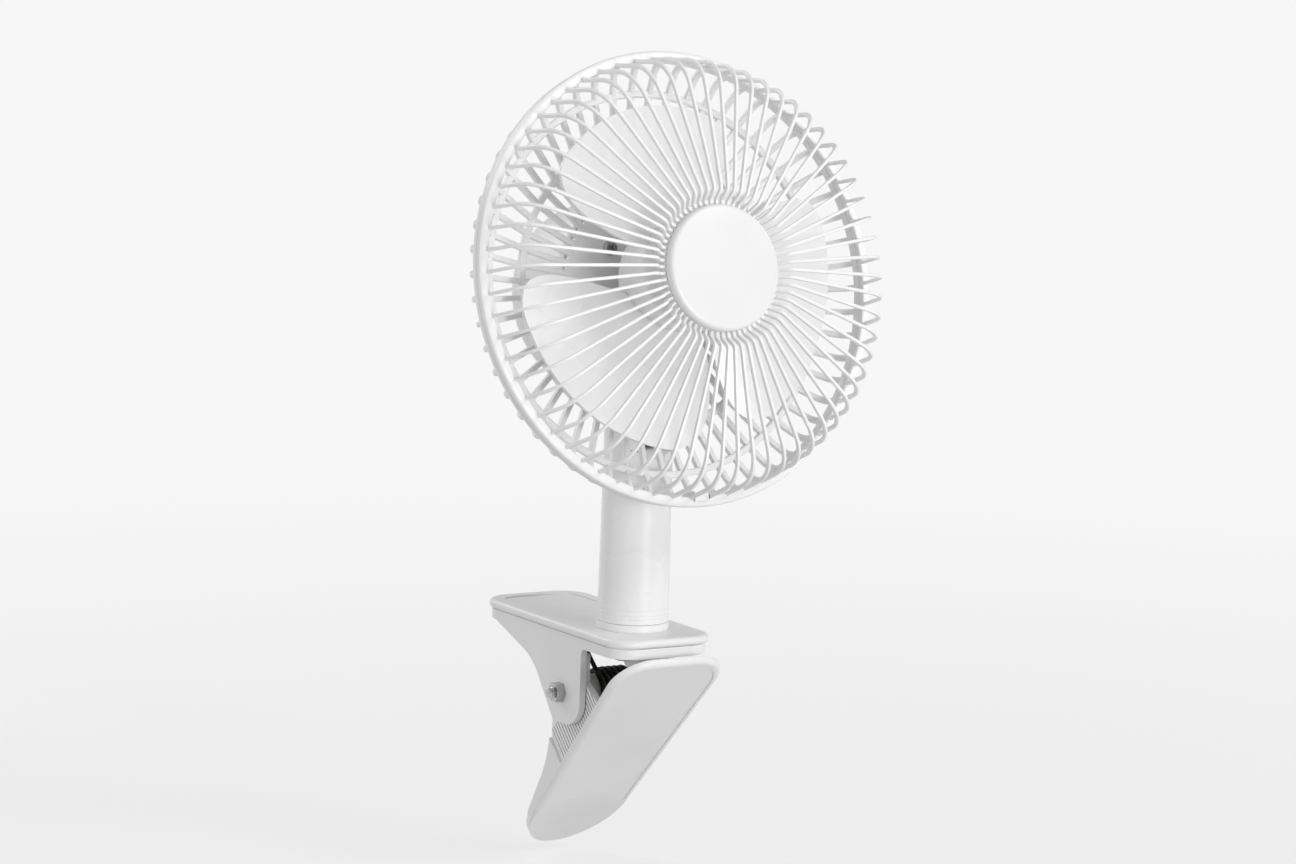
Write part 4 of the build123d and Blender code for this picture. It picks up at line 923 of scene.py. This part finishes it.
@dataclass
class CrossScrews:
    """Pan-head screws with a cross recess. Local Z points out of the head.

    A head's top is a grid, flat times head to each side, with its rim at crown times head.
    """

    name: str
    node: str
    body: str
    spots: list[Matrix]
    head: float = 2.9
    head_height: float = 1.8
    shank: float = 1.5
    length: float = 8.0
    recess: float = 1.0
    grid: int = 7
    flat: float = 0.62
    crown: float = 0.86

    def one(self, shape: BMesh, spot: Matrix) -> None:
        """Model one screw.

        Args:
            shape: the mesh that takes it.
            spot: where the underside of its head is.
        """
        screw = bmesh.new()
        made = bmesh.ops.create_grid(screw, x_segments=self.grid, y_segments=self.grid,
                                     size=self.head * self.flat)
        rim = [v for v in made["verts"] if v.is_boundary]
        for corner in rim:
            corner.co *= self.head * self.crown / corner.co.length
        bmesh.ops.translate(screw, verts=made["verts"], vec=(0, 0, self.head_height))
        cell = 2 * self.head * self.flat / self.grid
        cross = [f for f in screw.faces
                 if min(abs(f.calc_center_median().x), abs(f.calc_center_median().y)) < cell / 2
                 and max(abs(f.calc_center_median().x), abs(f.calc_center_median().y)) < 2.4 * cell]
        sunk = bmesh.ops.extrude_face_region(screw, geom=cross)
        floor = [v for v in sunk["geom"] if isinstance(v, BMVert)]
        bmesh.ops.translate(screw, verts=floor, vec=(0, 0, -self.recess))
        bmesh.ops.scale(screw, verts=floor, vec=(0.75, 0.75, 1))
        bmesh.ops.delete(screw, geom=cross, context="FACES_ONLY")
        sweep = Sweep(screw, [e for e in screw.edges if e.is_boundary
                              and e.verts[0].co.z > self.head_height - 0.01
                              and e.verts[0].co.xy.length > self.head * 0.8], Vector((0, 0, -1)))
        width = self.head * self.crown
        for drop, grow in ((0.25, 1.1), (0.4, 1.05), (self.head_height - 0.65, 1.0)):
            sweep.straight(drop)
            sweep.widen(grow)
            width *= grow
        sweep.straight(0.0)
        sweep.widen(self.shank / width)
        sweep.straight(self.length)
        sweep.close()
        bmesh.ops.transform(screw, matrix=spot, verts=screw.verts)
        joined = bpy.data.meshes.new("screw")
        screw.to_mesh(joined)
        screw.free()
        shape.from_mesh(joined)
        bpy.data.meshes.remove(joined)

    def build(self, place: Matrix) -> None:
        """Make all screws of the set in one piece."""
        shape = bmesh.new()
        for spot in self.spots:
            self.one(shape, spot)
        new_piece(self.name, shape, place, self.body, Dress.ZINC, (self.node,))


def ring_spots(count: int, radius: float, height: float, first: float,
               away: bool = False) -> list[Matrix]:
    """Places of screws on a circle round Z.

    Args:
        count: how many there are.
        radius: of their circle, in millimetres.
        height: of the seats of their heads.
        first: angle of the first in degrees.
        away: their heads point down Z.

    Returns:
        One matrix for each screw.
    """
    flip = Matrix.Rotation(math.pi, 4, "X") if away else Matrix.Identity(4)
    return [Matrix.Rotation(math.radians(first) + 2 * math.pi * k / count, 4, "Z")
            @ Matrix.Translation((radius, 0, height)) @ flip for k in range(count)]


@dataclass
class Knob:
    """Speed knob: a fluted grip with a rounded face, on a spindle."""

    place: Matrix
    radius: float = 10.0
    seat: float = 0.3
    height: float = 9.0
    flutes: int = 24
    spindle: float = 2.5
    spindle_length: float = 7.7

    def build(self) -> None:
        """Make the knob; local Z points rearwards out of the motor."""
        shape = bmesh.new()
        made = bmesh.ops.create_circle(shape, cap_ends=False, segments=self.flutes * 4,
                                       radius=self.radius)
        for number, corner in enumerate(sorted(made["verts"], key=lambda v: math.atan2(v.co.y,
                                                                                     v.co.x))):
            if number % 4 in (1, 2):
                bmesh.ops.scale(shape, verts=[corner], vec=(0.955, 0.955, 1))
        bmesh.ops.translate(shape, verts=made["verts"], vec=(0, 0, self.seat))
        grip = Sweep(shape, shape.edges[:], Vector((0, 0, 1)))
        for rise, factor in ((0.0, 1.0), (self.height - 1.6, 0.95), (0.9, 0.965), (0.5, 0.95),
                             (0.2, 0.93), (0.0, 0.5), (0.0, 0.2)):
            grip.straight(rise)
            grip.widen(factor)
        grip.close()
        lathe(shape, ((0, self.seat + 1), (self.spindle, self.seat + 1),
                      (self.spindle, self.seat - self.spindle_length),
                      (0, self.seat - self.spindle_length)), 32, closed=False)
        under = bmesh.ops.create_circle(shape, cap_ends=True, segments=self.flutes,
                                        radius=self.radius * 0.95)
        bmesh.ops.translate(shape, verts=under["verts"], vec=(0, 0, self.seat + 0.3))
        new_piece("knob_grip", shape, self.place, "knob", Dress.WHITE,
                  ("speed_knob",), crease=40)


# ---------------- stage


@dataclass
class Studio:
    """Pale floor, soft lamps and the camera of the photograph.

    Each lamp has its name, place in metres, width and power in watts. The fade is where the
    floor starts and ends turning into the plain white, and how far it has turned at its start.
    """

    floor_z: float = -0.104
    floor_half: float = 30.0
    floor_colour: str = "F4F4F4"
    bounce_colour: str = "C8C8C8"
    fade: tuple[float, float, float] = (0.2, 1.4, 0.65)
    room_light: float = 0.5
    azimuth: float = -31.78
    elevation: float = 7.75
    roll: float = 1.89
    distance: float = 1.7237
    target: tuple[float, float, float] = (0.0, -0.0025, 0.090)
    offset: tuple[float, float] = (-0.00625, 0.0087)
    lens: float = 111.11
    lamps: tuple[tuple[str, tuple[float, float, float], float, float], ...] = (
        ("key", (1.2, -1.9, 1.7), 0.8, 15.5),
        ("front", (0.2, -2.3, 0.22), 0.6, 20.0),
        ("left", (-2.3, 0.5, 0.5), 1.4, 6.0),
        ("rear", (-0.6, 1.9, 1.3), 1.4, 12.0),
    )

    def camera(self) -> None:
        """Stand the camera where the photograph was taken from."""
        turn, lift, roll = (math.radians(v) for v in (self.azimuth, self.elevation, self.roll))
        back = Vector((math.sin(turn) * math.cos(lift), -math.cos(turn) * math.cos(lift),
                       math.sin(lift)))
        right = Vector((math.cos(turn), math.sin(turn), 0.0))
        up = back.cross(right)
        right, up = (math.cos(roll) * right + math.sin(roll) * up,
                     math.cos(roll) * up - math.sin(roll) * right)
        aim = Vector(self.target) + right * self.offset[0] + up * self.offset[1]
        data = bpy.data.cameras.new("photo camera")
        data.lens, data.sensor_width = self.lens, 36.0
        data.clip_start, data.clip_end = 0.05, 200.0
        camera = bpy.data.objects.new("photo camera", data)
        bpy.context.collection.objects.link(camera)
        turned = Matrix((right, up, back)).transposed().to_4x4()
        camera.matrix_world = Matrix.Translation(aim + back * self.distance) @ turned
        bpy.context.scene.camera = camera

    def floor(self) -> None:
        """Lay the floor; far from the fan it fades to the plain white behind."""
        mesh = bpy.data.meshes.new("floor")
        shape = bmesh.new()
        bmesh.ops.create_grid(shape, x_segments=1, y_segments=1, size=self.floor_half)
        bmesh.ops.translate(shape, verts=shape.verts, vec=(0, 0, self.floor_z))
        shape.to_mesh(mesh)
        shape.free()
        floor = bpy.data.objects.new("floor", mesh)
        bpy.context.collection.objects.link(floor)
        paint = bpy.data.materials.new("matt paper floor")
        paint.use_nodes = True
        tree = paint.node_tree
        paper = tree.nodes["Principled BSDF"]
        paper.inputs["Roughness"].default_value = 0.9
        place = add_node(tree, "TexCoord").outputs["Object"]
        far = add_node(tree, "VectorMath", {"operation": "LENGTH"}, i0=place)
        begin, end, least = self.fade
        fade = add_node(tree, "MapRange", {"interpolation_type": "SMOOTHSTEP"},
                        i0=far.outputs["Value"], i1=begin, i2=end, i3=least)
        rays = add_node(tree, "LightPath")
        sheet = add_node(tree, "MixRGB", i0=rays.outputs["Is Diffuse Ray"],
                         i1=linear(self.floor_colour), i2=linear(self.bounce_colour))
        tree.links.new(sheet.outputs["Color"], paper.inputs["Base Color"])
        seen = add_node(tree, "Math", {"operation": "MAXIMUM"},
                        i0=rays.outputs["Is Camera Ray"], i1=rays.outputs["Is Glossy Ray"])
        both = add_node(tree, "Math", {"operation": "MULTIPLY"}, i0=seen.outputs[0],
                        i1=fade.outputs["Result"])
        glow = add_node(tree, "Emission", Color=linear("F7F7F7"), Strength=1.0)
        mixed = add_node(tree, "MixShader", i0=both.outputs[0], i1=paper.outputs["BSDF"],
                         i2=glow.outputs["Emission"])
        tree.links.new(mixed.outputs["Shader"], tree.nodes["Material Output"].inputs["Surface"])
        mesh.materials.append(paint)

    def light(self) -> None:
        """Hang the soft boxes and set the room's even light."""
        middle = Vector((0.0, 0.0, 0.09))
        for name, place, size, power in self.lamps:
            data = bpy.data.lights.new(name, "AREA")
            data.shape, data.size, data.energy = "DISK", size, power
            lamp = bpy.data.objects.new(name, data)
            bpy.context.collection.objects.link(lamp)
            lamp.location = place
            lamp.rotation_euler = (middle - Vector(place)).to_track_quat("-Z", "Y").to_euler()
        world = bpy.data.worlds.new("studio")
        world.use_nodes = True
        tree = world.node_tree
        room = tree.nodes["Background"]
        room.inputs["Color"].default_value = linear("FFFFFF")
        room.inputs["Strength"].default_value = self.room_light
        wall = add_node(tree, "Background", Color=linear("F7F7F7"), Strength=1.0)
        rays = add_node(tree, "LightPath")
        mixed = add_node(tree, "MixShader", i0=rays.outputs["Is Camera Ray"],
                         i1=room.outputs["Background"], i2=wall.outputs["Background"])
        tree.links.new(mixed.outputs["Shader"], tree.nodes["World Output"].inputs["Surface"])
        bpy.context.scene.world = world

    def build(self) -> None:
        """Set the whole stage."""
        bpy.context.scene.view_settings.view_transform = "Standard"
        self.floor()
        self.light()
        self.camera()


def main() -> None:
    """Load the frame, dress it, build the pieces and set the stage."""
    logging.basicConfig(level=logging.INFO, format="%(name)s: %(message)s")
    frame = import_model()
    for finish, names in WORN_BY.items():
        for name in names:
            dress(frame["nodes"][name], finish)
            LOG.info("%s wears %s", name, finish.value.name)
    head = joint_frame(frame, "blade_spin", turned=True)
    FrontCage(head).build()
    RearCage(head).build()
    Cap(head).build()
    pivot = joint_at(frame, "clip_squeeze")
    Spring(pivot).build()
    sideways = Matrix.Rotation(math.pi / 2, 4, "Y")
    CrossBolt(pivot @ sideways, ("pivot_bolt_thread", "pivot_nut_hex"),
              ("pivot_bolt", "pivot_nut"), "clip", seat=24.3, tip=-30.9).build()
    tilt = joint_at(frame, "head_tilt")
    CrossBolt(tilt @ sideways, ("tilt_bolt_thread", "tilt_nut_hex"), ("tilt_bolt", "tilt_nut"),
              "post", seat=11.5, tip=-16.8).build()
    CrossScrews("guard_screws_cross", "guard_screws", "head",
                ring_spots(4, radius=24.0, height=-25.5, first=45.0), head=3.2).build(head)
    CrossScrews("housing_screws_cross", "housing_screws", "head",
                ring_spots(4, radius=33.0, height=-75.2, first=45.0, away=True),
                length=41.9).build(head)
    Knob(joint_frame(frame, "knob_turn")).build()
    Studio().build()


if __name__ == "__main__":
    main()
